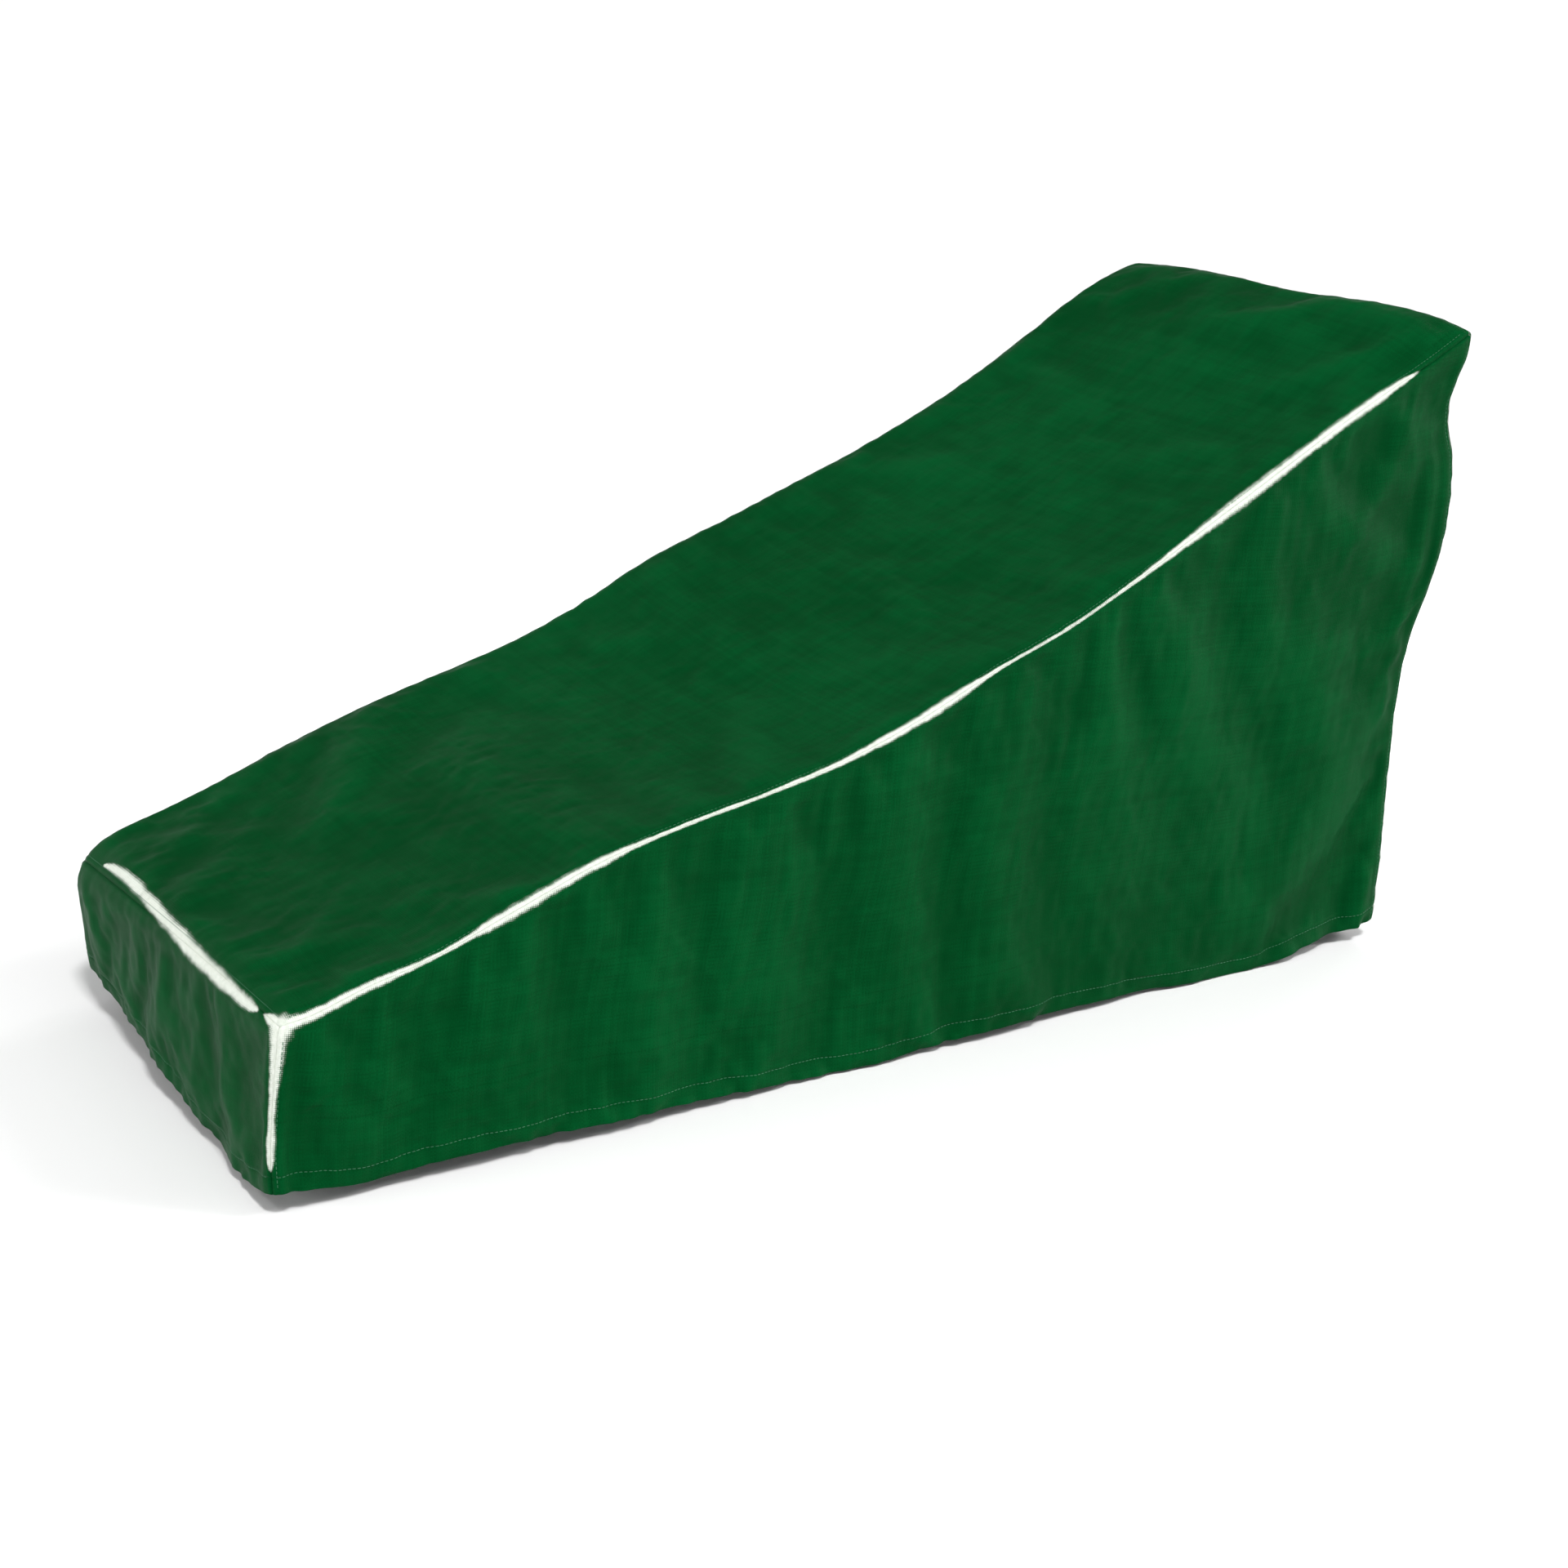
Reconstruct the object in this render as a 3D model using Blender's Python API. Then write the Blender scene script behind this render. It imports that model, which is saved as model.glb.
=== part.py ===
"""Fitted cover for a lounge chair: five sewn panels of coated woven cloth.

Each panel is a thin sheet in the shape in which the cover drapes: a low foot
end, a long ramp that steepens towards the raised back end, flat sides with
soft folds, and an open hem.  Metres, +Z up.  +X runs from the foot end to the
back end, -Y is the near side.  The origin is under the top panel, at the top
of the back end, where the cover bears on what it covers.

The tables below are written from the hem's level and the near foot corner:
x along the length, y across the width, z above the hem.
"""
import bpy
import bmesh
from math import sqrt, exp
from mathutils import Vector

# ---------------------------------------------------------------- main sizes
WIDTH = 0.737            # across the cover, side to side
HEM_LENGTH = 1.778       # foot corner to rear corner, along the near hem
TOP_LENGTH = 1.852       # foot edge to rear edge, seen from above
SHEET = 0.0020           # thickness of the cloth solid
HEM_SHEET = 0.0030       # the turned-up hem is doubled
HEM_DEPTH = 0.028        # height of the turned-up hem
SEAM_TRIM = 0.00055      # each panel stops this far short of the seam line
BACK_TRIM = 0.00090      # the same round the back end, where the turns are tight
BEAR_X = 1.800           # where the origin sits along the length
FOOT_TURN = 0.020        # radius over the foot end's edges ...
FOOT_TURN_FAR = 0.018    # ... and what the far top corner adds to it
BACK_TURN = 0.020        # radius over the back end's edges
COVER_GREEN = (0.010, 0.083, 0.028, 1.0)

# ------------------------------------------------------------------ sections
# Ridges: where the top panel turns down into the sides.
#   x       station along the length
#   near_z  height of the near ridge      far_z  height of the far ridge
#   crown   rise (+) or sag (-) of the top panel midway between the ridges
#   hold    how quickly the top panel leaves the near ridge's height:
#           1 is a straight line across, more is a full width at far height
#   near_r, far_r   radius of the turn
RIDGES = [
    # x      near_z  far_z    crown   hold  near_r  far_r
    (0.000,  0.211,  0.1735,  0.003,  1.0,  0.022,  0.030),
    (0.060,  0.217,  0.2045,  0.004,  1.0,  0.017,  0.026),
    (0.130,  0.238,  0.2265,  0.003,  1.0,  0.014,  0.020),
    (0.210,  0.256,  0.2525,  0.002,  1.0,  0.015,  0.016),
    (0.320,  0.294,  0.2945,  0.000,  1.0,  0.019,  0.016),
    (0.440,  0.337,  0.3355, -0.003,  1.0,  0.017,  0.018),
    (0.560,  0.365,  0.3685, -0.006,  1.0,  0.013,  0.018),
    (0.680,  0.386,  0.4015, -0.009,  1.0,  0.012,  0.016),
    (0.790,  0.410,  0.4445, -0.013,  1.0,  0.012,  0.015),
    (0.910,  0.449,  0.5025, -0.017,  1.0,  0.015,  0.018),
    (1.030,  0.499,  0.5445, -0.019,  1.0,  0.014,  0.018),
    (1.150,  0.543,  0.5875, -0.019,  1.0,  0.012,  0.016),
    (1.270,  0.599,  0.6305, -0.017,  1.0,  0.015,  0.016),
    (1.390,  0.660,  0.6805, -0.013,  1.0,  0.021,  0.016),
    (1.510,  0.722,  0.7385, -0.008,  1.4,  0.019,  0.017),
    (1.630,  0.783,  0.8065, -0.003,  2.2,  0.018,  0.018),
    (1.710,  0.820,  0.8535,  0.002,  4.0,  0.016,  0.020),
    (1.770,  0.846,  0.8815,  0.005,  7.0,  0.013,  0.022),
    (1.820,  0.871,  0.8970,  0.005, 12.0,  0.012,  0.022),
    (1.852,  0.889,  0.9000,  0.003, 16.0,  0.012,  0.020),
]

# Hem: its height along both sides and across both ends.
SIDE_HEMS = [
    # x      near_z   far_z
    (0.000,  0.002,   0.023),
    (0.060, -0.004,   0.012),
    (0.120, -0.013,   0.002),
    (0.200, -0.009,  -0.004),
    (0.395, -0.010,  -0.010),
    (0.600, -0.017,  -0.006),
    (0.825, -0.028,  -0.012),
    (1.000, -0.019,  -0.020),
    (1.245, -0.021,  -0.015),
    (1.400, -0.028,  -0.021),
    (1.520, -0.030,  -0.018),
    (1.640, -0.013,  -0.008),
    (1.722, -0.008,  -0.010),
    (1.778,  0.000,  -0.004),
]
END_HEMS = [
    # y      foot_z   back_z
    (0.000,  0.002,   0.000),
    (0.080, -0.014,  -0.008),
    (0.200, -0.016,  -0.014),
    (0.310, -0.004,  -0.010),
    (0.360,  0.003,  -0.012),
    (0.500,  0.010,  -0.016),
    (0.600,  0.009,  -0.010),
    (0.660,  0.019,  -0.007),
    (0.737,  0.023,  -0.004),
]

# Upright corners, seen from the side: how far along the length each stands
# at a given height (a share of the full height there).
FOOT_CORNERS = [
    # share   near_x   far_x
    (0.00,    0.000,   0.011),
    (0.20,   -0.001,   0.007),
    (0.50,    0.004,   0.004),
    (0.80,    0.012,   0.001),
    (1.00,    0.018,   0.004),
]
BACK_CORNERS = [
    # share   near_x   far_x
    (0.000,   1.780,   1.780),
    (0.110,   1.783,   1.783),
    (0.260,   1.782,   1.786),
    (0.400,   1.790,   1.794),
    (0.470,   1.801,   1.803),
    (0.525,   1.817,   1.812),
    (0.575,   1.836,   1.822),
    (0.630,   1.850,   1.832),
    (0.715,   1.852,   1.840),
    (0.797,   1.844,   1.842),
    (0.850,   1.829,   1.842),
    (0.888,   1.828,   1.844),
    (0.918,   1.838,   1.846),
    (0.950,   1.851,   1.848),
    (0.980,   1.857,   1.849),
    (1.000,   1.858,   1.850),
]
# Top edge of the back end: its small rises and dips across the width.
BACK_RIDGE = [
    # y      rise
    (0.000,  0.000),
    (0.080,  0.003),
    (0.160,  0.004),
    (0.250,  0.000),
    (0.330, -0.003),
    (0.420, -0.001),
    (0.520,  0.003),
    (0.610,  0.005),
    (0.680,  0.002),
    (0.737,  0.000),
]

# Soft folds: ridges (+) and troughs (-) that run down or across a panel.
#   panel   which panel;  at  place along the hem or edge where it is deepest
#   wide    half-width;  out  depth, outwards positive
#   lean    how far the fold drifts along the panel from hem to ridge
#   top     share of the panel's height at which it has died out
FOLDS = [
    # panel   at      wide    out      lean    top
    ("near",  0.150,  0.075, -0.0060,  0.030,  0.85),
    ("near",  0.470,  0.100,  0.0050,  0.060,  0.80),
    ("near",  0.760,  0.110, -0.0070,  0.050,  0.90),
    ("near",  1.060,  0.110,  0.0080, -0.020,  1.00),
    ("near",  1.330,  0.100, -0.0080,  0.050,  0.85),
    ("near",  1.560,  0.090,  0.0090,  0.080,  0.95),
    ("near",  1.700,  0.050, -0.0060,  0.060,  0.70),
    ("far",   0.230,  0.080, -0.0060,  0.030,  0.80),
    ("far",   0.560,  0.110,  0.0060,  0.050,  0.85),
    ("far",   0.930,  0.120,  0.0100,  0.000,  1.00),
    ("far",   1.200,  0.090, -0.0080,  0.040,  0.85),
    ("far",   1.480,  0.100,  0.0080,  0.060,  0.90),
    ("foot",  0.190,  0.070, -0.0060,  0.010,  0.90),
    ("foot",  0.390,  0.080,  0.0060, -0.010,  0.90),
    ("foot",  0.590,  0.060, -0.0050,  0.020,  0.85),
    ("back",  0.150,  0.080,  0.0070,  0.030,  0.80),
    ("back",  0.360,  0.100, -0.0090,  0.000,  0.90),
    ("back",  0.580,  0.080,  0.0070, -0.030,  0.80),
]

# Sideways set of the sides and ends, away from the straight cut:
#   share   height as a share of the full height
#   side    belly of the long sides, outwards positive
#   foot    belly of the foot end;  back  belly of the back end
BELLY = [
    # share   side     foot     back
    (0.00,    0.002,   0.000,   0.000),
    (0.30,   -0.003,  -0.002,  -0.006),
    (0.60,   -0.004,  -0.003,  -0.010),
    (0.85,   -0.001,  -0.001,  -0.006),
    (1.00,    0.000,   0.000,   0.000),
]

# Facets between the turned edges: rows along and across, and the heights of
# the rows up a side as shares of it, closer together where the notch is.
LENGTH_ROWS = 34
WIDTH_ROWS = 10
HEIGHT_SHARES = (0.13, 0.27, 0.39, 0.48, 0.56, 0.64, 0.73, 0.81, 0.87, 0.92, 0.96)


# ------------------------------------------------------------ small helpers
def column(table, key, col, at):
    """Smooth value of one table column at `at`: a curve through its rows."""
    xs = [row[key] for row in table]
    ys = [row[col] for row in table]
    if at <= xs[0]:
        return ys[0]
    if at >= xs[-1]:
        return ys[-1]
    i = 0
    while xs[i + 1] < at:
        i += 1

    def slope(k):
        if k == 0:
            return (ys[1] - ys[0]) / (xs[1] - xs[0])
        if k == len(xs) - 1:
            return (ys[k] - ys[k - 1]) / (xs[k] - xs[k - 1])
        a = (ys[k] - ys[k - 1]) / (xs[k] - xs[k - 1])
        b = (ys[k + 1] - ys[k]) / (xs[k + 1] - xs[k])
        ha = xs[k] - xs[k - 1]
        hb = xs[k + 1] - xs[k]
        return (a * hb + b * ha) / (ha + hb)

    h = xs[i + 1] - xs[i]
    s = (at - xs[i]) / h
    m0, m1 = slope(i) * h, slope(i + 1) * h
    return ((2 * s ** 3 - 3 * s ** 2 + 1) * ys[i] + (s ** 3 - 2 * s ** 2 + s) * m0
            + (3 * s ** 2 - 2 * s ** 3) * ys[i + 1] + (s ** 3 - s ** 2) * m1)


def bump(d):
    """Smooth hump: 1 at d = 0, gone at |d| = 1 and beyond."""
    return (1 - d * d) ** 2 if abs(d) < 1 else 0.0


def ease(s):
    s = min(max(s, 0.0), 1.0)
    return s * s * (3 - 2 * s)


# ----------------------------------------------- the drape, without its turns
def near_ridge(x):
    return column(RIDGES, 0, 1, x) + 0.29 * column(RIDGES, 0, 5, x)


def far_ridge(x):
    return column(RIDGES, 0, 2, x) + 0.29 * column(RIDGES, 0, 6, x)


def top_height(x, across):
    hold = column(RIDGES, 0, 4, x)
    share = 1 - (1 - across) ** hold
    crown = column(RIDGES, 0, 3, x) * 4 * across * (1 - across)
    crown += column(BACK_RIDGE, 0, 1, across * WIDTH) * ease((x - 1.72) / 0.10)
    return near_ridge(x) * (1 - share) + far_ridge(x) * share + crown


def hem_height(along, across):
    x = along * HEM_LENGTH
    y = across * WIDTH
    sides = column(SIDE_HEMS, 0, 1, x) * (1 - across) + column(SIDE_HEMS, 0, 2, x) * across
    ends = column(END_HEMS, 0, 1, y) * (1 - along) + column(END_HEMS, 0, 2, y) * along
    a, b = SIDE_HEMS[0], SIDE_HEMS[-1]
    corners = ((a[1] * (1 - across) + a[2] * across) * (1 - along)
               + (b[1] * (1 - across) + b[2] * across) * along)
    return sides + ends - corners


def full_height(along, across):
    """Sharp-edged height of the cover above its hem, at a share of the plan."""
    x = corner_x(along, across, 1.0)
    return top_height(x, across) - hem_height(along, across)


def corner_x(along, across, share):
    """Place along the length of a point of the sharp-edged form."""
    foot = (column(FOOT_CORNERS, 0, 1, share) * (1 - across)
            + column(FOOT_CORNERS, 0, 2, share) * across)
    plain = column(BACK_CORNERS, 0, 2, share)
    notched = column(BACK_CORNERS, 0, 1, share)
    # the near rear corner's notch fades within a hand's width of the corner,
    # both across the back end and along the side
    fade = exp(-across / 0.12) * ease((along - 0.80) / 0.20)
    back = plain + (notched - plain) * fade
    return foot + (back - foot) * along


def fold_sum(panel, at, share):
    out = 0.0
    for name, place, wide, depth, lean, top in FOLDS:
        if name == panel:
            d = (at - place - lean * share) / wide
            out += depth * bump(d) * (1 - ease(share / top))
    return out


def drape(along, across, share):
    """World point of the sharp-edged form.  along, across and share run 0..1
    from foot to back, near to far and hem to top."""
    x = corner_x(along, across, share)
    z0 = hem_height(along, across)
    z = z0 + share * (top_height(corner_x(along, across, 1.0), across) - z0)
    y = across * WIDTH
    belly = column(BELLY, 0, 1, share)
    end_fade = 4 * along * (1 - along)
    y -= (belly * end_fade + fold_sum("near", x, share)) * (1 - across) ** 3
    y += (belly * end_fade + fold_sum("far", x, share)) * across ** 3
    side_fade = 4 * across * (1 - across)
    x -= (column(BELLY, 0, 2, share) * side_fade + fold_sum("foot", y, share)) * (1 - along) ** 6
    x += (column(BELLY, 0, 3, share) * side_fade + fold_sum("back", y, share)) * along ** 6
    return Vector((x, y, z))


# ------------------------------------------------------- turned edges, rounded
def turn_radii(l, across, share):
    """Radii of the turns: at an end, at a side, and over the top edge."""
    side_r = (column(RIDGES, 0, 5, l) * (1 - across)
              + column(RIDGES, 0, 6, l) * across)
    foot_r = FOOT_TURN + FOOT_TURN_FAR * across * ease(share)
    end_r = foot_r + (BACK_TURN - foot_r) * l / TOP_LENGTH
    near_end = 1 - ease(min(l, TOP_LENGTH - l) / 0.06)
    return end_r, side_r, side_r + 0.5 * (end_r - side_r) * near_end


def skin(l, w, h):
    """Outer surface of the cover.  l, w and h are metres along, across and up
    the sharp-edged form; points on its faces are drawn in onto the turns."""
    along, across = l / TOP_LENGTH, w / WIDTH
    high = full_height(min(max(along, 0), 1), min(max(across, 0), 1))
    share = h / high
    rx, ry, rz = turn_radii(l, across, share)
    cx = min(max(l, rx), TOP_LENGTH - rx)
    cy = min(max(w, ry), WIDTH - ry)
    cz = min(h, high - rz)
    dx, dy, dz = (l - cx) / rx, (w - cy) / ry, (h - cz) / rz
    n = sqrt(dx * dx + dy * dy + dz * dz)
    if n > 1e-9:
        l = cx + rx * dx / n
        w = cy + ry * dy / n
        h = cz + rz * dz / n
    return drape(l / TOP_LENGTH, w / WIDTH, h / high)


# --------------------------------------------------------------- panel grids
def lengthwise():
    """Stations along the cover: closer together on the turned ends."""
    rows = [SEAM_TRIM, 0.009, 0.022]
    first, last = 0.022, TOP_LENGTH - 0.018
    for i in range(1, LENGTH_ROWS):
        rows.append(first + (last - first) * i / LENGTH_ROWS)
    return rows + [last, TOP_LENGTH - 0.007, TOP_LENGTH - BACK_TRIM]


def seam_trim(l):
    """How far a panel stops short of its seam: a little more at the back."""
    return SEAM_TRIM + (BACK_TRIM - SEAM_TRIM) * ease((l - 1.70) / 0.12)


def crosswise(l):
    """Stations across the cover at one place along it."""
    near_r = column(RIDGES, 0, 5, l)
    far_r = column(RIDGES, 0, 6, l)
    rows = [seam_trim(l), 0.45 * near_r, 1.05 * near_r]
    first, last = 1.05 * near_r, WIDTH - 1.05 * far_r
    for i in range(1, WIDTH_ROWS):
        rows.append(first + (last - first) * i / WIDTH_ROWS)
    return rows + [last, WIDTH - 0.45 * far_r, WIDTH - seam_trim(l)]


def upright(l, w):
    """Heights up a side or an end, from the hem to the ridge."""
    high = full_height(l / TOP_LENGTH, w / WIDTH)
    r = turn_radii(l, w / WIDTH, 1.0)[2]
    rows = [0.0, HEM_DEPTH, HEM_DEPTH + 0.003]
    first, last = HEM_DEPTH + 0.003, high - 1.05 * r
    for share in HEIGHT_SHARES:
        rows.append(first + (last - first) * share)
    return rows + [last, high - 0.45 * r, high - seam_trim(l)]


def sheet(name, grid, outward):
    """One panel: the outer skin over `grid` (rows of (l, w, h)), and an inner
    skin one cloth thickness inside it, closed round the edge."""
    step = 1e-4
    outer, inner = [], []
    rows, cols = len(grid), len(grid[0])
    for r in range(rows):
        for c in range(cols):
            l, w, h = grid[r][c]
            p = skin(l, w, h)
            along, up = grid_tangents(name, l, w, h, step)
            n = along.cross(up).normalized()
            if n.dot(outward) < 0:
                n = -n
            thick = SHEET
            if name != "top_panel" and h <= HEM_DEPTH + 1e-6:
                thick = HEM_SHEET
            outer.append(p)
            inner.append(p - n * thick)
    origin = bearing_point()
    mesh = bpy.data.meshes.new(name)
    bm = bmesh.new()
    vo = [bm.verts.new(p - origin) for p in outer]
    vi = [bm.verts.new(p - origin) for p in inner]

    def at(r, c):
        return r * cols + c

    for r in range(rows - 1):
        for c in range(cols - 1):
            q = (at(r, c), at(r, c + 1), at(r + 1, c + 1), at(r + 1, c))
            bm.faces.new([vo[i] for i in q])
            bm.faces.new([vi[i] for i in reversed(q)])
    edge = ([at(0, c) for c in range(cols)]
            + [at(r, cols - 1) for r in range(1, rows)]
            + [at(rows - 1, c) for c in range(cols - 2, -1, -1)]
            + [at(r, 0) for r in range(rows - 2, 0, -1)])
    for k, a in enumerate(edge):
        b = edge[(k + 1) % len(edge)]
        bm.faces.new((vo[b], vo[a], vi[a], vi[b]))
    bmesh.ops.recalc_face_normals(bm, faces=bm.faces[:])
    bm.to_mesh(mesh)
    bm.free()
    mesh.shade_smooth()
    mesh.set_sharp_from_angle(angle=0.9)
    obj = bpy.data.objects.new(name, mesh)
    bpy.context.scene.collection.objects.link(obj)
    obj.data.materials.append(cloth_material(name))
    return obj


def grid_tangents(name, l, w, h, step):
    """Two directions in the skin at a point of a panel, each taken towards
    the panel's inside so that no probe crosses the seam."""
    def toward(value, middle):
        return step if value < middle else -step

    base = skin(l, w, h)
    dl = toward(l, TOP_LENGTH / 2)
    dw = toward(w, WIDTH / 2)
    if name == "top_panel":
        # the point keeps to the top while it moves, so its height is remade
        drop = full_height(l / TOP_LENGTH, w / WIDTH) - h
        a = skin(l + dl, w, full_height((l + dl) / TOP_LENGTH, w / WIDTH) - drop)
        b = skin(l, w + dw, full_height(l / TOP_LENGTH, (w + dw) / WIDTH) - drop)
        return (a - base) / dl, (b - base) / dw
    dh = toward(h, full_height(l / TOP_LENGTH, w / WIDTH) / 2)
    up = (skin(l, w, h + dh) - base) / dh
    if name in ("side_panel_near", "side_panel_far"):
        return (skin(l + dl, w, h) - base) / dl, up
    return (skin(l, w + dw, h) - base) / dw, up


def bearing_point():
    """Inner face of the top panel at the top of the back end, mid width."""
    p = skin(BEAR_X, WIDTH / 2, full_height(BEAR_X / TOP_LENGTH, 0.5))
    return p - Vector((0.0, 0.0, SHEET + 0.0003))


def cloth_material(name):
    mat = bpy.data.materials.new(name + "_cloth")
    mat.use_nodes = True
    shader = mat.node_tree.nodes["Principled BSDF"]
    shader.inputs["Base Color"].default_value = COVER_GREEN
    shader.inputs["Roughness"].default_value = 0.42
    shader.inputs["Metallic"].default_value = 0.0
    return mat


def build():
    for obj in list(bpy.data.objects):
        bpy.data.objects.remove(obj, do_unlink=True)
    ls = lengthwise()
    # top: rows across at each station along
    top = [[(l, w, full_height(l / TOP_LENGTH, w / WIDTH)) for w in crosswise(l)] for l in ls]
    near = [[(l, 0.0, h) for h in upright(l, 0.0)] for l in ls]
    far = [[(l, WIDTH, h) for h in upright(l, WIDTH)] for l in ls]
    foot = [[(0.0, w, h) for h in upright(0.0, w)] for w in crosswise(0.0)]
    back = [[(TOP_LENGTH, w, h) for h in upright(TOP_LENGTH, w)] for w in crosswise(TOP_LENGTH)]
    sheet("top_panel", top, Vector((-0.3, 0, 1)))
    sheet("side_panel_near", near, Vector((0, -1, 0)))
    sheet("side_panel_far", far, Vector((0, 1, 0)))
    sheet("foot_panel", foot, Vector((-1, 0, 0)))
    sheet("back_panel", back, Vector((1, 0, 0)))


build()
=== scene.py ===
"""Looks of the fitted lounge chair cover: five sewn panels of dark green
coated woven cloth, draped, with a turned-up stitched hem.

The cover's shape is worked out from the same named sizes and tables as its
solids, then given what cloth has: rolled seams with puckers, soft folds,
stitches, a doubled hem and the weave of flat tapes. Its colour also holds
painted highlights along some seams and painted light and shade on its folds.
Metres, +Z up, +X from the foot end to the raised back end, -Y the near side.
The tables are written from the hem's level and the near foot corner, as the
solids' are; BEARING moves them into the part's frame.
"""

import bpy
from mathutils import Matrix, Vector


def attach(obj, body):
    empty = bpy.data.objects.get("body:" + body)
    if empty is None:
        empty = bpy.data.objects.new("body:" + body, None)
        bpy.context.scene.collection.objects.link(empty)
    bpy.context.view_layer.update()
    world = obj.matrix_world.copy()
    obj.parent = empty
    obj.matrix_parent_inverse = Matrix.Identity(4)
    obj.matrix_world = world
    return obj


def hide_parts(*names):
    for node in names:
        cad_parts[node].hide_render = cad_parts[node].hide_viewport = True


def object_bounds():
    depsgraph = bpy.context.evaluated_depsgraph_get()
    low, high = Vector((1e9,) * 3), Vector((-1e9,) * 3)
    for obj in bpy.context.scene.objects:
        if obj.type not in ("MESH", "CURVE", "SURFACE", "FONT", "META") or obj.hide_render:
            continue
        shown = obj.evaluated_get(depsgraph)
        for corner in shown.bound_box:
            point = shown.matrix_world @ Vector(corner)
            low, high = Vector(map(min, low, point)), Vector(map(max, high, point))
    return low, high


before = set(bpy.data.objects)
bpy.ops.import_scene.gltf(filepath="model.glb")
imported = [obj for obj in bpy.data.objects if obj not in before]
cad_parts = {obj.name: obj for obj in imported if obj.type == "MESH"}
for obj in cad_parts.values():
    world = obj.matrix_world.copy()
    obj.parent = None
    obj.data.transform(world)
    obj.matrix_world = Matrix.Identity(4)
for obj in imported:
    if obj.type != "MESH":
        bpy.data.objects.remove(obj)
CAD_BOX = [[float(v) for v in corner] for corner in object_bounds()]

import math

import bpy
import numpy as np
from mathutils import Matrix, Vector

# ---------------------------------------------------------------- main sizes
WIDTH = 0.737
HEM_LENGTH = 1.778
TOP_LENGTH = 1.852
HEM_DEPTH = 0.028
FOOT_TURN = 0.020
FOOT_TURN_FAR = 0.018
BACK_TURN = 0.020
BEARING = np.array([1.79848, 0.36850, 0.89884])

CLOTH = 0.0011           # visible thickness of one layer
HEM_CLOTH = 0.0021       # two layers at the hem
SEAM_GAP = 0.00012       # each panel stops this far short of the seam line
STITCH_IN = 0.0068       # a seam's stitch row, in from the seam
HEM_STITCH = 0.0225      # the hem's stitch row, above its edge
STITCH_PITCH = 0.0060
TAPE = 0.0024            # pitch of the flat tapes that the cloth is woven from

# ------------------------------------------------------------------ sections
# Ridges, hems, corners and folds: the same rows as the solids are built from.
RIDGES = [
    # x      near_z  far_z    crown   hold  near_r  far_r
    (0.000,  0.211,  0.1735,  0.003,  1.0,  0.022,  0.030),
    (0.060,  0.217,  0.2045,  0.004,  1.0,  0.017,  0.026),
    (0.130,  0.238,  0.2265,  0.003,  1.0,  0.014,  0.020),
    (0.210,  0.256,  0.2525,  0.002,  1.0,  0.015,  0.016),
    (0.320,  0.294,  0.2945,  0.000,  1.0,  0.019,  0.016),
    (0.440,  0.337,  0.3355, -0.003,  1.0,  0.017,  0.018),
    (0.560,  0.365,  0.3685, -0.006,  1.0,  0.013,  0.018),
    (0.680,  0.386,  0.4015, -0.009,  1.0,  0.012,  0.016),
    (0.790,  0.410,  0.4445, -0.013,  1.0,  0.012,  0.015),
    (0.910,  0.449,  0.5025, -0.017,  1.0,  0.015,  0.018),
    (1.030,  0.499,  0.5445, -0.019,  1.0,  0.014,  0.018),
    (1.150,  0.543,  0.5875, -0.019,  1.0,  0.012,  0.016),
    (1.270,  0.599,  0.6305, -0.017,  1.0,  0.015,  0.016),
    (1.390,  0.660,  0.6805, -0.013,  1.0,  0.021,  0.016),
    (1.510,  0.722,  0.7385, -0.008,  1.4,  0.019,  0.017),
    (1.630,  0.783,  0.8065, -0.003,  2.2,  0.018,  0.018),
    (1.710,  0.820,  0.8535,  0.002,  4.0,  0.016,  0.020),
    (1.770,  0.846,  0.8815,  0.005,  7.0,  0.013,  0.022),
    (1.820,  0.871,  0.8970,  0.005, 12.0,  0.012,  0.022),
    (1.852,  0.889,  0.9000,  0.003, 16.0,  0.012,  0.020),
]

# Hem: its height along both sides and across both ends.
SIDE_HEMS = [
    # x      near_z   far_z
    (0.000,  0.002,   0.023),
    (0.060, -0.004,   0.012),
    (0.120, -0.013,   0.002),
    (0.200, -0.009,  -0.004),
    (0.395, -0.010,  -0.010),
    (0.600, -0.017,  -0.006),
    (0.825, -0.028,  -0.012),
    (1.000, -0.019,  -0.020),
    (1.245, -0.021,  -0.015),
    (1.400, -0.028,  -0.021),
    (1.520, -0.030,  -0.018),
    (1.640, -0.013,  -0.008),
    (1.722, -0.008,  -0.010),
    (1.778,  0.000,  -0.004),
]
END_HEMS = [
    # y      foot_z   back_z
    (0.000,  0.002,   0.000),
    (0.080, -0.014,  -0.008),
    (0.200, -0.016,  -0.014),
    (0.310, -0.004,  -0.010),
    (0.360,  0.003,  -0.012),
    (0.500,  0.010,  -0.016),
    (0.600,  0.009,  -0.010),
    (0.660,  0.019,  -0.007),
    (0.737,  0.023,  -0.004),
]

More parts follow.
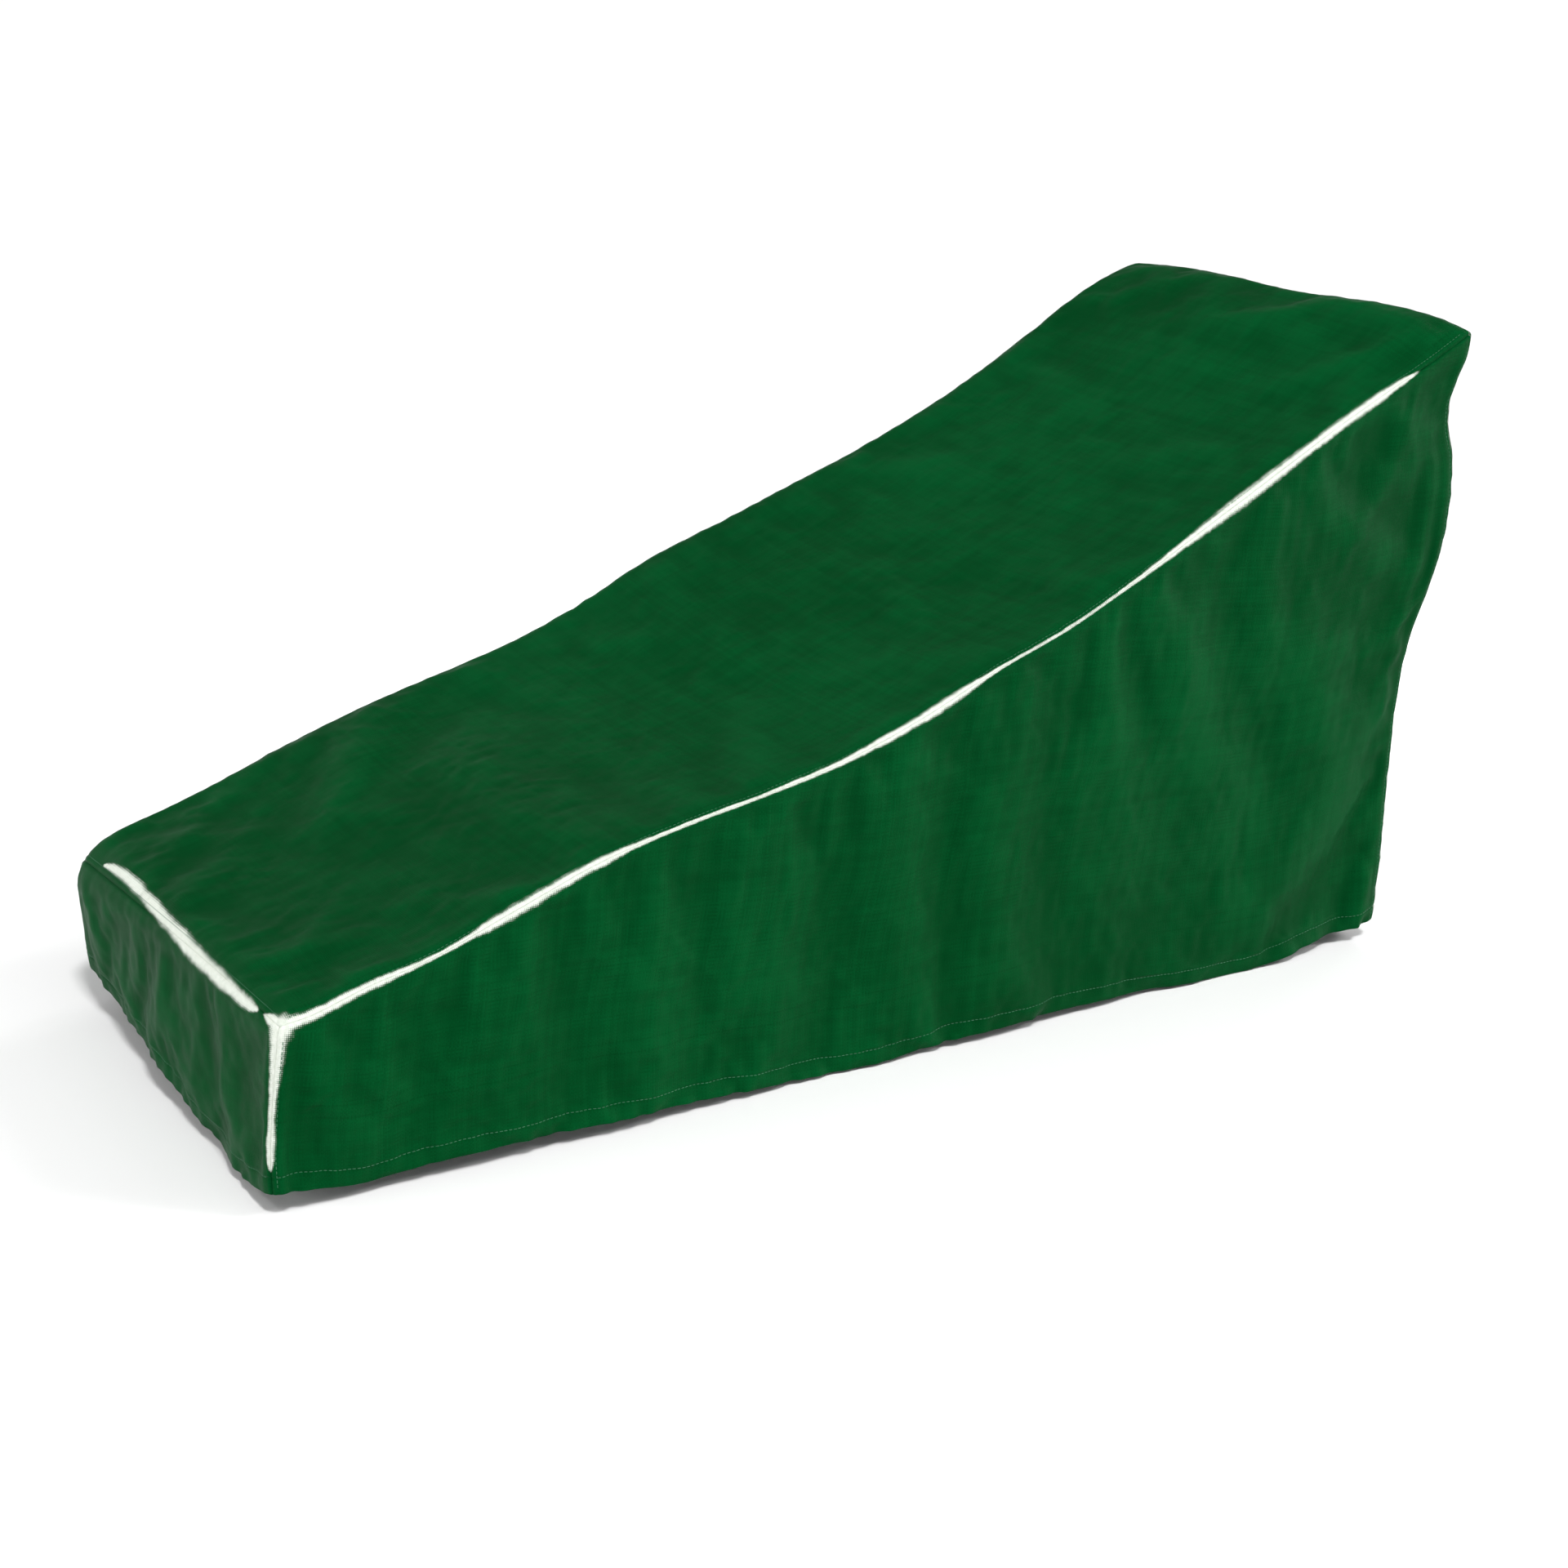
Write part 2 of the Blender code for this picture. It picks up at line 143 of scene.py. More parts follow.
# Upright corners, seen from the side: how far along the length each stands
# at a given height (a share of the full height there).
FOOT_CORNERS = [
    # share   near_x   far_x
    (0.00,    0.000,   0.011),
    (0.20,   -0.001,   0.007),
    (0.50,    0.004,   0.004),
    (0.80,    0.012,   0.001),
    (1.00,    0.018,   0.004),
]
BACK_CORNERS = [
    # share   near_x   far_x
    (0.000,   1.780,   1.780),
    (0.110,   1.783,   1.783),
    (0.260,   1.782,   1.786),
    (0.400,   1.790,   1.794),
    (0.470,   1.801,   1.803),
    (0.525,   1.817,   1.812),
    (0.575,   1.836,   1.822),
    (0.630,   1.850,   1.832),
    (0.715,   1.852,   1.840),
    (0.797,   1.844,   1.842),
    (0.850,   1.829,   1.842),
    (0.888,   1.828,   1.844),
    (0.918,   1.838,   1.846),
    (0.950,   1.851,   1.848),
    (0.980,   1.857,   1.849),
    (1.000,   1.858,   1.850),
]
# Top edge of the back end: its small rises and dips across the width.
BACK_RIDGE = [
    # y      rise
    (0.000,  0.000),
    (0.080,  0.003),
    (0.160,  0.004),
    (0.250,  0.000),
    (0.330, -0.003),
    (0.420, -0.001),
    (0.520,  0.003),
    (0.610,  0.005),
    (0.680,  0.002),
    (0.737,  0.000),
]

# Soft folds: ridges (+) and troughs (-) that run down or across a panel.
#   panel   which panel;  at  place along the hem or edge where it is deepest
#   wide    half-width;  out  depth, outwards positive
#   lean    how far the fold drifts along the panel from hem to ridge
#   top     share of the panel's height at which it has died out
FOLDS = [
    # panel   at      wide    out      lean    top
    ("near",  0.150,  0.075, -0.0060,  0.030,  0.85),
    ("near",  0.470,  0.100,  0.0050,  0.060,  0.80),
    ("near",  0.760,  0.110, -0.0070,  0.050,  0.90),
    ("near",  1.060,  0.110,  0.0080, -0.020,  1.00),
    ("near",  1.330,  0.100, -0.0080,  0.050,  0.85),
    ("near",  1.560,  0.090,  0.0090,  0.080,  0.95),
    ("near",  1.700,  0.050, -0.0060,  0.060,  0.70),
    ("far",   0.230,  0.080, -0.0060,  0.030,  0.80),
    ("far",   0.560,  0.110,  0.0060,  0.050,  0.85),
    ("far",   0.930,  0.120,  0.0100,  0.000,  1.00),
    ("far",   1.200,  0.090, -0.0080,  0.040,  0.85),
    ("far",   1.480,  0.100,  0.0080,  0.060,  0.90),
    ("foot",  0.190,  0.070, -0.0060,  0.010,  0.90),
    ("foot",  0.390,  0.080,  0.0060, -0.010,  0.90),
    ("foot",  0.590,  0.060, -0.0050,  0.020,  0.85),
    ("back",  0.150,  0.080,  0.0070,  0.030,  0.80),
    ("back",  0.360,  0.100, -0.0090,  0.000,  0.90),
    ("back",  0.580,  0.080,  0.0070, -0.030,  0.80),
]

# Sideways set of the sides and ends, away from the straight cut:
#   share   height as a share of the full height
#   side    belly of the long sides, outwards positive
#   foot    belly of the foot end;  back  belly of the back end
BELLY = [
    # share   side     foot     back
    (0.00,    0.002,   0.000,   0.000),
    (0.30,   -0.003,  -0.002,  -0.006),
    (0.60,   -0.004,  -0.003,  -0.010),
    (0.85,   -0.001,  -0.001,  -0.006),
    (1.00,    0.000,   0.000,   0.000),
]

# Creases that the folds above don't hold: soft ridges (+) and troughs (-).
#   u along the panel (metres from the foot or near edge), v up or across it
#   wide half-width, out height outwards, bow sideways bend of the line
CREASES = [
    # panel   u0      v0      u1      v1      wide    out      bow
    ("near",  0.030,  0.190,  0.210,  0.060,  0.020,  0.0035,  0.020),
    ("near",  0.090,  0.215,  0.330,  0.150,  0.017, -0.0024,  0.015),
    ("near",  0.300,  0.290,  0.360,  0.050,  0.026,  0.0032,  0.012),
    ("near",  0.520,  0.365,  0.450,  0.110,  0.030, -0.0038, -0.020),
    ("near",  0.560,  0.350,  0.660,  0.080,  0.028,  0.0043,  0.022),
    ("near",  0.700,  0.390,  0.790,  0.230,  0.022, -0.0030,  0.010),
    ("near",  0.800,  0.415,  0.740,  0.150,  0.030,  0.0041, -0.025),
    ("near",  0.840,  0.430,  1.050,  0.290,  0.026,  0.0038,  0.030),
    ("near",  1.000,  0.480,  0.930,  0.200,  0.034, -0.0041,  0.018),
    ("near",  1.100,  0.500,  1.190,  0.160,  0.036,  0.0046,  0.024),
    ("near",  1.220,  0.560,  1.300,  0.330,  0.028, -0.0038,  0.020),
    ("near",  1.420,  0.660,  1.350,  0.300,  0.036,  0.0049, -0.026),
    ("near",  1.500,  0.700,  1.560,  0.380,  0.032, -0.0046,  0.022),
    ("near",  1.790,  0.840,  1.560,  0.560,  0.030,  0.0068,  0.030),
    ("near",  1.800,  0.800,  1.690,  0.480,  0.026, -0.0049,  0.028),
    ("near",  1.805,  0.780,  1.760,  0.420,  0.022,  0.0059,  0.014),
    ("near",  1.640,  0.700,  1.660,  0.200,  0.040,  0.0041,  0.030),
    ("far",   0.060,  0.200,  0.280,  0.070,  0.022,  0.0035, -0.020),
    ("far",   0.380,  0.290,  0.430,  0.060,  0.028,  0.0038,  0.014),
    ("far",   0.640,  0.380,  0.560,  0.110,  0.032, -0.0041, -0.022),
    ("far",   0.720,  0.400,  0.820,  0.120,  0.030,  0.0046,  0.020),
    ("far",   0.960,  0.500,  1.080,  0.210,  0.034,  0.0043,  0.026),
    ("far",   1.180,  0.570,  1.120,  0.240,  0.030, -0.0041, -0.018),
    ("far",   1.300,  0.620,  1.390,  0.280,  0.034,  0.0046,  0.024),
    ("far",   1.500,  0.700,  1.430,  0.330,  0.034, -0.0043, -0.022),
    ("far",   1.800,  0.840,  1.600,  0.500,  0.032,  0.0059,  0.030),
    ("far",   1.810,  0.780,  1.730,  0.380,  0.026, -0.0043,  0.018),
    ("foot",  0.040,  0.180,  0.190,  0.060,  0.018,  0.0024,  0.012),
    ("foot",  0.300,  0.190,  0.270,  0.040,  0.022, -0.0020, -0.010),
    ("foot",  0.420,  0.180,  0.500,  0.040,  0.022,  0.0024,  0.012),
    ("foot",  0.700,  0.160,  0.590,  0.060,  0.018,  0.0022,  0.010),
    ("back",  0.040,  0.820,  0.240,  0.480,  0.030,  0.0063,  0.030),
    ("back",  0.060,  0.780,  0.110,  0.380,  0.026, -0.0047,  0.016),
    ("back",  0.700,  0.820,  0.500,  0.500,  0.032,  0.0060, -0.030),
    ("back",  0.690,  0.760,  0.640,  0.340,  0.026, -0.0042, -0.014),
    ("back",  0.300,  0.760,  0.380,  0.260,  0.040,  0.0050,  0.030),
    ("back",  0.140,  0.640,  0.520,  0.600,  0.030, -0.0037,  0.040),
    ("back",  0.200,  0.430,  0.560,  0.400,  0.034,  0.0040, -0.036),
    ("top",   0.050,  0.060,  0.240,  0.300,  0.028,  0.0035,  0.020),
    ("top",   0.060,  0.690,  0.260,  0.450,  0.030,  0.0038, -0.018),
    ("top",   0.330,  0.120,  0.370,  0.620,  0.036,  0.0041,  0.026),
    ("top",   0.520,  0.040,  0.600,  0.380,  0.030, -0.0043,  0.026),
    ("top",   0.560,  0.700,  0.640,  0.400,  0.030, -0.0043, -0.024),
    ("top",   0.700,  0.030,  0.860,  0.300,  0.032,  0.0057,  0.034),
    ("top",   0.740,  0.710,  0.880,  0.450,  0.032,  0.0057, -0.030),
    ("top",   0.860,  0.130,  0.880,  0.620,  0.040, -0.0054,  0.050),
    ("top",   1.020,  0.100,  1.040,  0.640,  0.040,  0.0051, -0.050),
    ("top",   1.180,  0.040,  1.130,  0.330,  0.030, -0.0046, -0.024),
    ("top",   1.220,  0.700,  1.160,  0.440,  0.030,  0.0046,  0.022),
    ("top",   1.340,  0.110,  1.380,  0.600,  0.042, -0.0046,  0.040),
    ("top",   1.520,  0.050,  1.400,  0.330,  0.030,  0.0049, -0.030),
    ("top",   1.560,  0.690,  1.470,  0.420,  0.030,  0.0046,  0.028),
    ("top",   1.790,  0.050,  1.600,  0.260,  0.026,  0.0062,  0.026),
    ("top",   1.800,  0.690,  1.640,  0.500,  0.028,  0.0057, -0.024),
    ("top",   1.700,  0.200,  1.720,  0.560,  0.034, -0.0041,  0.030),
]

# Small local pulls of the cloth, the same on every panel that they reach:
# a place (x, y, z), the reach of the pull, and how far it goes.
PULLS = [
    # x       y       z       reach   dx       dy       dz
    (1.848,   0.733,  0.902,  0.013,  0.000,   0.001,   0.0055),
    (1.828,   0.000,  0.465,  0.115, -0.011,   0.000,   0.0000),
    (1.846,   0.000,  0.555,  0.060, -0.0035,  0.000,   0.0000),
    (1.790,   0.000,  0.330,  0.085, -0.0025,  0.000,   0.0000),
]

# Painted highlight along the seams that stand proud: pale bands put into the cloth's colour.
#   at      place along the seam; wide  width of the painted highlight band
#   shift   how far the band sits off the seam, onto the top panel
NEAR_HIGHLIGHT = [
    # x      wide     shift
    (0.000,  0.0220,  0.000),
    (0.022,  0.0170,  0.000),
    (0.064,  0.0110,  0.000),
    (0.135,  0.0110,  0.000),
    (0.170,  0.0070,  0.000),
    (0.208,  0.0045,  0.000),
    (0.250,  0.0070,  0.000),
    (0.283,  0.0150,  0.000),
    (0.359,  0.0155,  0.000),
    (0.437,  0.0120,  0.000),
    (0.480,  0.0060,  0.000),
    (0.516,  0.0040,  0.000),
    (0.680,  0.0040,  0.000),
    (0.770,  0.0060,  0.000),
    (0.854,  0.0110,  0.000),
    (0.942,  0.0150,  0.000),
    (1.000,  0.0070,  0.000),
    (1.033,  0.0035,  0.000),
    (1.220,  0.0035,  0.000),
    (1.316,  0.0085,  0.000),
    (1.365,  0.0150,  0.000),
    (1.440,  0.0210,  0.000),
    (1.513,  0.0170,  0.000),
    (1.565,  0.0140,  0.000),
    (1.665,  0.0150,  0.000),
    (1.720,  0.0070,  0.000),
    (1.760,  0.0000,  0.000),
]
FOOT_HIGHLIGHT = [
    # y      wide     shift
    (0.000,  0.0200,  0.0000),
    (0.030,  0.0120,  0.0000),
    (0.050,  0.0000, -0.0010),
    (0.060,  0.0000, -0.0020),
    (0.076,  0.0080, -0.0038),
    (0.094,  0.0130, -0.0046),
    (0.147,  0.0136, -0.0040),
    (0.190,  0.0160, -0.0040),
    (0.244,  0.0176, -0.0030),
    (0.301,  0.0186, -0.0006),
    (0.356,  0.0151,  0.0036),
    (0.411,  0.0133,  0.0060),
    (0.467,  0.0124,  0.0099),
    (0.524,  0.0125,  0.0125),
    (0.579,  0.0111,  0.0139),
    (0.626,  0.0076,  0.0117),
    (0.648,  0.0040,  0.0092),
    (0.658,  0.0000,  0.0086),
    (0.737,  0.0000,  0.0040),
]
CORNER_HIGHLIGHT = [
    # down   wide     shift
    (0.000,  0.0300,  0.000),
    (0.021,  0.0220,  0.000),
    (0.059,  0.0160,  0.000),
    (0.089,  0.0100,  0.000),
    (0.122,  0.0080,  0.000),
    (0.150,  0.0120,  0.000),
    (0.178,  0.0070,  0.000),
    (0.190,  0.0000,  0.000),
]
# The other seams get only a thin, faint painted highlight band.
FAINT_HIGHLIGHT = 0.0030


# ------------------------------------------------------------ small helpers
def column(table, key, col, at):
    """Smooth values of one table column at an array of places."""
    xs = np.array([row[key] for row in table], dtype=float)
    ys = np.array([row[col] for row in table], dtype=float)
    gap = np.diff(xs)
    rise = np.diff(ys) / gap
    slope = np.empty(len(xs))
    slope[0], slope[-1] = rise[0], rise[-1]
    slope[1:-1] = (rise[:-1] * gap[1:] + rise[1:] * gap[:-1]) / (gap[:-1] + gap[1:])
    at = np.clip(at, xs[0], xs[-1])
    i = np.clip(np.searchsorted(xs, at, side="left") - 1, 0, len(xs) - 2)
    h = gap[i]
    s = (at - xs[i]) / h
    return ((2 * s ** 3 - 3 * s ** 2 + 1) * ys[i] + (s ** 3 - 2 * s ** 2 + s) * slope[i] * h
            + (3 * s ** 2 - 2 * s ** 3) * ys[i + 1] + (s ** 3 - s ** 2) * slope[i + 1] * h)


def straight(table, key, col, at):
    return np.interp(at, [row[key] for row in table], [row[col] for row in table])


def bump(d):
    return np.where(np.abs(d) < 1, (1 - np.minimum(d * d, 1)) ** 2, 0.0)


def ease(s):
    s = np.clip(s, 0.0, 1.0)
    return s * s * (3 - 2 * s)


def unit(v):
    return v / np.maximum(np.linalg.norm(v, axis=-1, keepdims=True), 1e-12)


# ------------------------------------------------------------- smooth noise
_rng = np.random.RandomState(41)
_order = np.concatenate([_rng.permutation(256)] * 3)
_grads = unit(_rng.normal(size=(256, 3)))


def noise(p, size, seed=0):
    """Gradient noise of about -0.7 to 0.7 with features `size` metres wide."""
    q = np.asarray(p, dtype=float) / size + np.array([13.7, 7.1, 29.3]) + seed * 5.37
    cell = np.floor(q).astype(int)
    f = q - cell
    u = f * f * f * (f * (f * 6 - 15) + 10)
    out = 0.0
    for dx in (0, 1):
        wx = u[..., 0] if dx else 1 - u[..., 0]
        for dy in (0, 1):
            wy = u[..., 1] if dy else 1 - u[..., 1]
            for dz in (0, 1):
                wz = u[..., 2] if dz else 1 - u[..., 2]
                k = _order[(cell[..., 0] + dx) & 255]
                k = _order[k + ((cell[..., 1] + dy) & 255)]
                k = _order[(k + ((cell[..., 2] + dz) & 255)) & 511]
                g = _grads[k]
                dot = (g[..., 0] * (f[..., 0] - dx) + g[..., 1] * (f[..., 1] - dy)
                       + g[..., 2] * (f[..., 2] - dz))
                out = out + wx * wy * wz * dot
    return out * 1.4


def along_noise(s, size, seed=0, other=None):
    """Noise along a line, with an optional slow change across it."""
    s = np.asarray(s, dtype=float)
    p = np.zeros(s.shape + (3,))
    p[..., 0] = s
    if other is not None:
        p[..., 1] = other
    p[..., 2] = seed * 0.731 * size
    return noise(p, size, seed)


# ----------------------------------------------- the drape, without its turns
def near_ridge(x):
    return column(RIDGES, 0, 1, x) + 0.29 * column(RIDGES, 0, 5, x)


def far_ridge(x):
    return column(RIDGES, 0, 2, x) + 0.29 * column(RIDGES, 0, 6, x)


def top_height(x, across):
    hold = column(RIDGES, 0, 4, x)
    share = 1 - np.power(np.maximum(1 - across, 0.0), hold)
    crown = column(RIDGES, 0, 3, x) * 4 * across * (1 - across)
    crown = crown + column(BACK_RIDGE, 0, 1, across * WIDTH) * ease((x - 1.72) / 0.10)
    return near_ridge(x) * (1 - share) + far_ridge(x) * share + crown


def hem_height(along, across):
    x = along * HEM_LENGTH
    y = across * WIDTH
    sides = column(SIDE_HEMS, 0, 1, x) * (1 - across) + column(SIDE_HEMS, 0, 2, x) * across
    ends = column(END_HEMS, 0, 1, y) * (1 - along) + column(END_HEMS, 0, 2, y) * along
    a, b = SIDE_HEMS[0], SIDE_HEMS[-1]
    corners = ((a[1] * (1 - across) + a[2] * across) * (1 - along)
               + (b[1] * (1 - across) + b[2] * across) * along)
    return sides + ends - corners


def corner_x(along, across, share):
    foot = (column(FOOT_CORNERS, 0, 1, share) * (1 - across)
            + column(FOOT_CORNERS, 0, 2, share) * across)
    plain = column(BACK_CORNERS, 0, 2, share)
    notched = column(BACK_CORNERS, 0, 1, share)
    fade = np.exp(-across / 0.12) * ease((along - 0.80) / 0.20)
    return foot + (plain + (notched - plain) * fade - foot) * along


def full_height(along, across):
    x = corner_x(along, across, np.ones_like(along))
    return top_height(x, across) - hem_height(along, across)


def fold_sum(panel, at, share):
    out = np.zeros_like(at)
    for name, place, wide, depth, lean, top in FOLDS:
        if name == panel:
            out = out + depth * bump((at - place - lean * share) / wide) * (1 - ease(share / top))
    return out


def drape(along, across, share):
    x = corner_x(along, across, share)
    z0 = hem_height(along, across)
    z = z0 + share * (top_height(corner_x(along, across, np.ones_like(along)), across) - z0)
    y = across * WIDTH
    belly = column(BELLY, 0, 1, share)
    end_fade = 4 * along * (1 - along)
    y = y - (belly * end_fade + fold_sum("near", x, share)) * (1 - across) ** 3
    y = y + (belly * end_fade + fold_sum("far", x, share)) * across ** 3
    side_fade = 4 * across * (1 - across)
    x = x - (column(BELLY, 0, 2, share) * side_fade + fold_sum("foot", y, share)) * (1 - along) ** 6
    x = x + (column(BELLY, 0, 3, share) * side_fade + fold_sum("back", y, share)) * along ** 6
    return np.stack([x, y, z], axis=-1)


# ------------------------------------------------------- turned edges, rounded
def turn_radii(l, across, share):
    side_r = (column(RIDGES, 0, 5, l) * (1 - across)
              + column(RIDGES, 0, 6, l) * across)
    foot_r = FOOT_TURN + FOOT_TURN_FAR * across * ease(share)
    end_r = foot_r + (BACK_TURN - foot_r) * l / TOP_LENGTH
    near_end = 1 - ease(np.minimum(l, TOP_LENGTH - l) / 0.06)
    return end_r, side_r, side_r + 0.5 * (end_r - side_r) * near_end


def skin(l, w, h):
    """Smooth outer surface of the cover, before its cloth detail."""
    along, across = l / TOP_LENGTH, w / WIDTH
    high = full_height(np.clip(along, 0, 1), np.clip(across, 0, 1))
    rx, ry, rz = turn_radii(l, across, h / high)
    cx = np.minimum(np.maximum(l, rx), TOP_LENGTH - rx)
    cy = np.minimum(np.maximum(w, ry), WIDTH - ry)
    cz = np.minimum(h, high - rz)
    dx, dy, dz = (l - cx) / rx, (w - cy) / ry, (h - cz) / rz
    n = np.sqrt(dx * dx + dy * dy + dz * dz)
    on = n > 1e-9
    n = np.where(on, n, 1.0)
    l = np.where(on, cx + rx * dx / n, l)
    w = np.where(on, cy + ry * dy / n, w)
    h = np.where(on, cz + rz * dz / n, h)
    return drape(l / TOP_LENGTH, w / WIDTH, h / high)


# ------------------------------------------------------------------- panels
# A panel's own coordinates (u, v): along and across for the top, along and up
# for the sides, across and up for the ends.
OUTWARD = {"top": (-0.3, 0, 1), "near": (0, -1, 0), "far": (0, 1, 0),
           "foot": (-1, 0, 0), "back": (1, 0, 0)}


def place(panel, u, v):
    """(l, w, h) of a panel's points."""
    if panel == "top":
        return u, v, full_height(u / TOP_LENGTH, v / WIDTH)
    if panel in ("near", "far"):
        return u, np.full_like(u, 0.0 if panel == "near" else WIDTH), v
    return np.full_like(u, 0.0 if panel == "foot" else TOP_LENGTH), u, v


def panel_height(panel, u):
    """Sharp-edged height of a side or end at a place along it."""
    if panel in ("near", "far"):
        return full_height(u / TOP_LENGTH, np.full_like(u, 0.0 if panel == "near" else 1.0))
    return full_height(np.full_like(u, 0.0 if panel == "foot" else 1.0), u / WIDTH)


def arc(t, r):
    """Distance over the cloth to a seam in the middle of a turn of radius r."""
    inside = r * (math.pi / 4 - np.arctan((r - np.minimum(t, r)) / r))
    return np.where(t < r, inside, r * math.pi / 4 + t - r)


def seams_of(panel, u, v):
    """(name, distance over the cloth, place along it) of a panel's seams."""
    l, w, h = place(panel, u, v)
    high = full_height(l / TOP_LENGTH, w / WIDTH)
    rx, ry, rz = turn_radii(l, w / WIDTH, h / high)
    if panel == "top":
        return [("near", arc(w, ry), l), ("far", arc(WIDTH - w, ry), l),
                ("foot", arc(l, rx), w), ("back", arc(TOP_LENGTH - l, rx), w)]
    if panel in ("near", "far"):
        return [(panel, arc(high - h, ry), l), ("foot_" + panel, arc(l, rx), high - h),
                ("back_" + panel, arc(TOP_LENGTH - l, rx), high - h)]
    return [(panel, arc(high - h, rx), w), (panel + "_near", arc(w, ry), high - h),
            (panel + "_far", arc(WIDTH - w, ry), high - h)]


PUCKER = {  # how strongly each seam gathers the cloth beside it
    "near": 1.0, "far": 1.0, "foot": 1.1, "back": 1.1,
    "foot_near": 1.2, "foot_far": 1.2, "back_near": 1.3, "back_far": 1.2,
    "near_foot": 1.0}
STITCHED = {"top": ("near", "far", "foot", "back"),
            "near": ("foot_near", "back_near"), "far": ("foot_far", "back_far"),
            "foot": (), "back": ()}


FLUTE = {"near": 0.0034, "far": 0.0040, "foot": 0.0016, "back": 0.0040}


def crease_sum(panel, u, v):
    out = np.zeros_like(u)
    for name, u0, v0, u1, v1, wide, rise, bow in CREASES:
        if name != panel:
            continue
        du, dv = u1 - u0, v1 - v0
        size = math.hypot(du, dv)
        t = ((u - u0) * du + (v - v0) * dv) / size ** 2
        side = ((u - u0) * -dv + (v - v0) * du) / size
        side = side - bow * 4 * t * (1 - t)
        reach = wide * (0.7 + 0.9 * np.clip(t, 0, 1))     # it widens as it runs out
        s = (side / reach) ** 2
        taper = bump(2 * t - 1) * (1.25 - 0.5 * t)
        out = out + rise * taper * (1 - 0.55 * s) * np.exp(-s)
    return out


def cloth_detail(panel, u, v, p):
    """How far the cloth stands out from its smooth form."""
    rough = 0.0030 * noise(p, 0.23, 1) + 0.0019 * noise(p, 0.105, 2)
    rough = rough + 0.0010 * noise(p, 0.052, 3) + 0.00035 * noise(p, 0.024, 4)
    # crumpled cloth: thin soft crease lines between flatter places
    warp = p + 0.05 * np.stack([noise(p, 0.17, 11), noise(p, 0.17, 12), noise(p, 0.17, 13)], -1)
    line = 1 - np.abs(noise(warp, 0.110, 5)) / 0.16
    line2 = 1 - np.abs(noise(warp, 0.062, 6)) / 0.18
    rough = rough + 0.0011 * np.clip(line, 0, 1) ** 2 - 0.0008 * np.clip(line2, 0, 1) ** 2
    rough = rough + crease_sum(panel, u, v)

    seams = seams_of(panel, u, v)
    nearest = np.minimum.reduce([d for _, d, _ in seams])
    out = rough * (0.25 + 0.75 * ease(nearest / 0.030))
    for name, d, s in seams:
        grip = PUCKER.get(name, 1.0)
        out = out - 0.0010 * np.exp(-(d / 0.0011) ** 2)
        out = out + 0.0007 * np.exp(-((d - 0.0040) / 0.0026) ** 2)
        pull = along_noise(s, 0.017, 21 + len(name), d * 0.5)
        pull = pull * (0.55 + 0.9 * np.clip(along_noise(s, 0.14, 23) + 0.35, 0, 1))
        out = out + 0.0017 * grip * pull * np.exp(-d / 0.013) * (1 - np.exp(-(d / 0.0022) ** 2))
        if name in STITCHED[panel]:
            out = out - 0.0006 * np.exp(-((d - STITCH_IN) / 0.0013) ** 2)
    if panel != "top":
        out = out * (0.75 + 0.25 * ease(v / 0.05))
        s = u + 0.3
        out = out - 0.0006 * np.exp(-((v - HEM_STITCH) / 0.0014) ** 2)
        pull = along_noise(s, 0.021, 31, v * 0.25) * np.exp(-np.abs(v - HEM_STITCH) / 0.012)
        out = out + 0.0013 * pull * (1 - np.exp(-((v - HEM_STITCH) / 0.0020) ** 2))
        out = out + 0.00045 * (1 - ease((v - 0.0262) / 0.0035))
        # the free edge flutes a little
        flute = along_noise(s, 0.085, 33) + 0.5 * along_noise(s, 0.043, 34)
        fade = ease(nearest / 0.05)
        out = out + FLUTE[panel] * flute * np.exp(-v / 0.070) * fade
    return out


def pulls(p):
    for x, y, z, reach, dx, dy, dz in PULLS:
        d2 = ((p - np.array([x, y, z])) ** 2).sum(-1) / reach ** 2
        p = p + np.exp(-d2)[..., None] * np.array([dx, dy, dz])
    return p


def smooth_at(panel, u, v):
    return pulls(skin(*place(panel, u, v)))


def normals_at(panel, u, v, p):
    """Outward directions of the smooth surface, probed towards the inside."""
    step = 1e-4
    mid_v = WIDTH / 2 if panel == "top" else panel_height(panel, u) / 2
    mid_u = TOP_LENGTH / 2 if panel in ("top", "near", "far") else WIDTH / 2
    du = np.where(u < mid_u, step, -step)
    dv = np.where(v < mid_v, step, -step)
    a = (smooth_at(panel, u + du, v) - p) / du[..., None]
    b = (smooth_at(panel, u, v + dv) - p) / dv[..., None]
    n = unit(np.cross(a, b))
    flip = np.where((n * np.array(OUTWARD[panel])).sum(-1) < 0, -1.0, 1.0)
    return n * flip[..., None]


def cloth_at(panel, u, v):
    """Outer surface of the finished cloth, and its direction outwards."""
    p = smooth_at(panel, u, v)
    n = normals_at(panel, u, v, p)
    moved = settled_at(panel, u, v)
    return p + moved + n * cloth_detail(panel, u, v, p)[..., None], n


# ------------------------------------------------------- settled slack cloth
# Each panel is let settle a little: held along its seams, with some slack.
#   rows, cols  of the settling mesh;  slack  share that the cloth is longer
#   hem  how firmly the free edge keeps its line;  pull  share of its weight
#   bend  stiffness against bending
#   broad  share that is kept of the broad sag, which the sections above hold
#   fold  how much of its folds is kept
SETTLE = {
    # panel   rows  cols  slack   hem    pull   bend  broad  fold
    "top":   (124,  50,   0.008,  1.00,  0.15,  1.0,  0.06,  0.85),
    "near":  (124,  44,   0.014,  0.22,  1.00,  0.6,  1.00,  1.00),
    "far":   (124,  44,   0.014,  0.10,  1.00,  0.6,  1.00,  1.00),
    "foot":  (50,   18,   0.010,  0.45,  1.00,  0.6,  1.00,  1.00),
    "back":  (50,   60,   0.012,  0.10,  1.00,  0.6,  0.40,  1.25)}
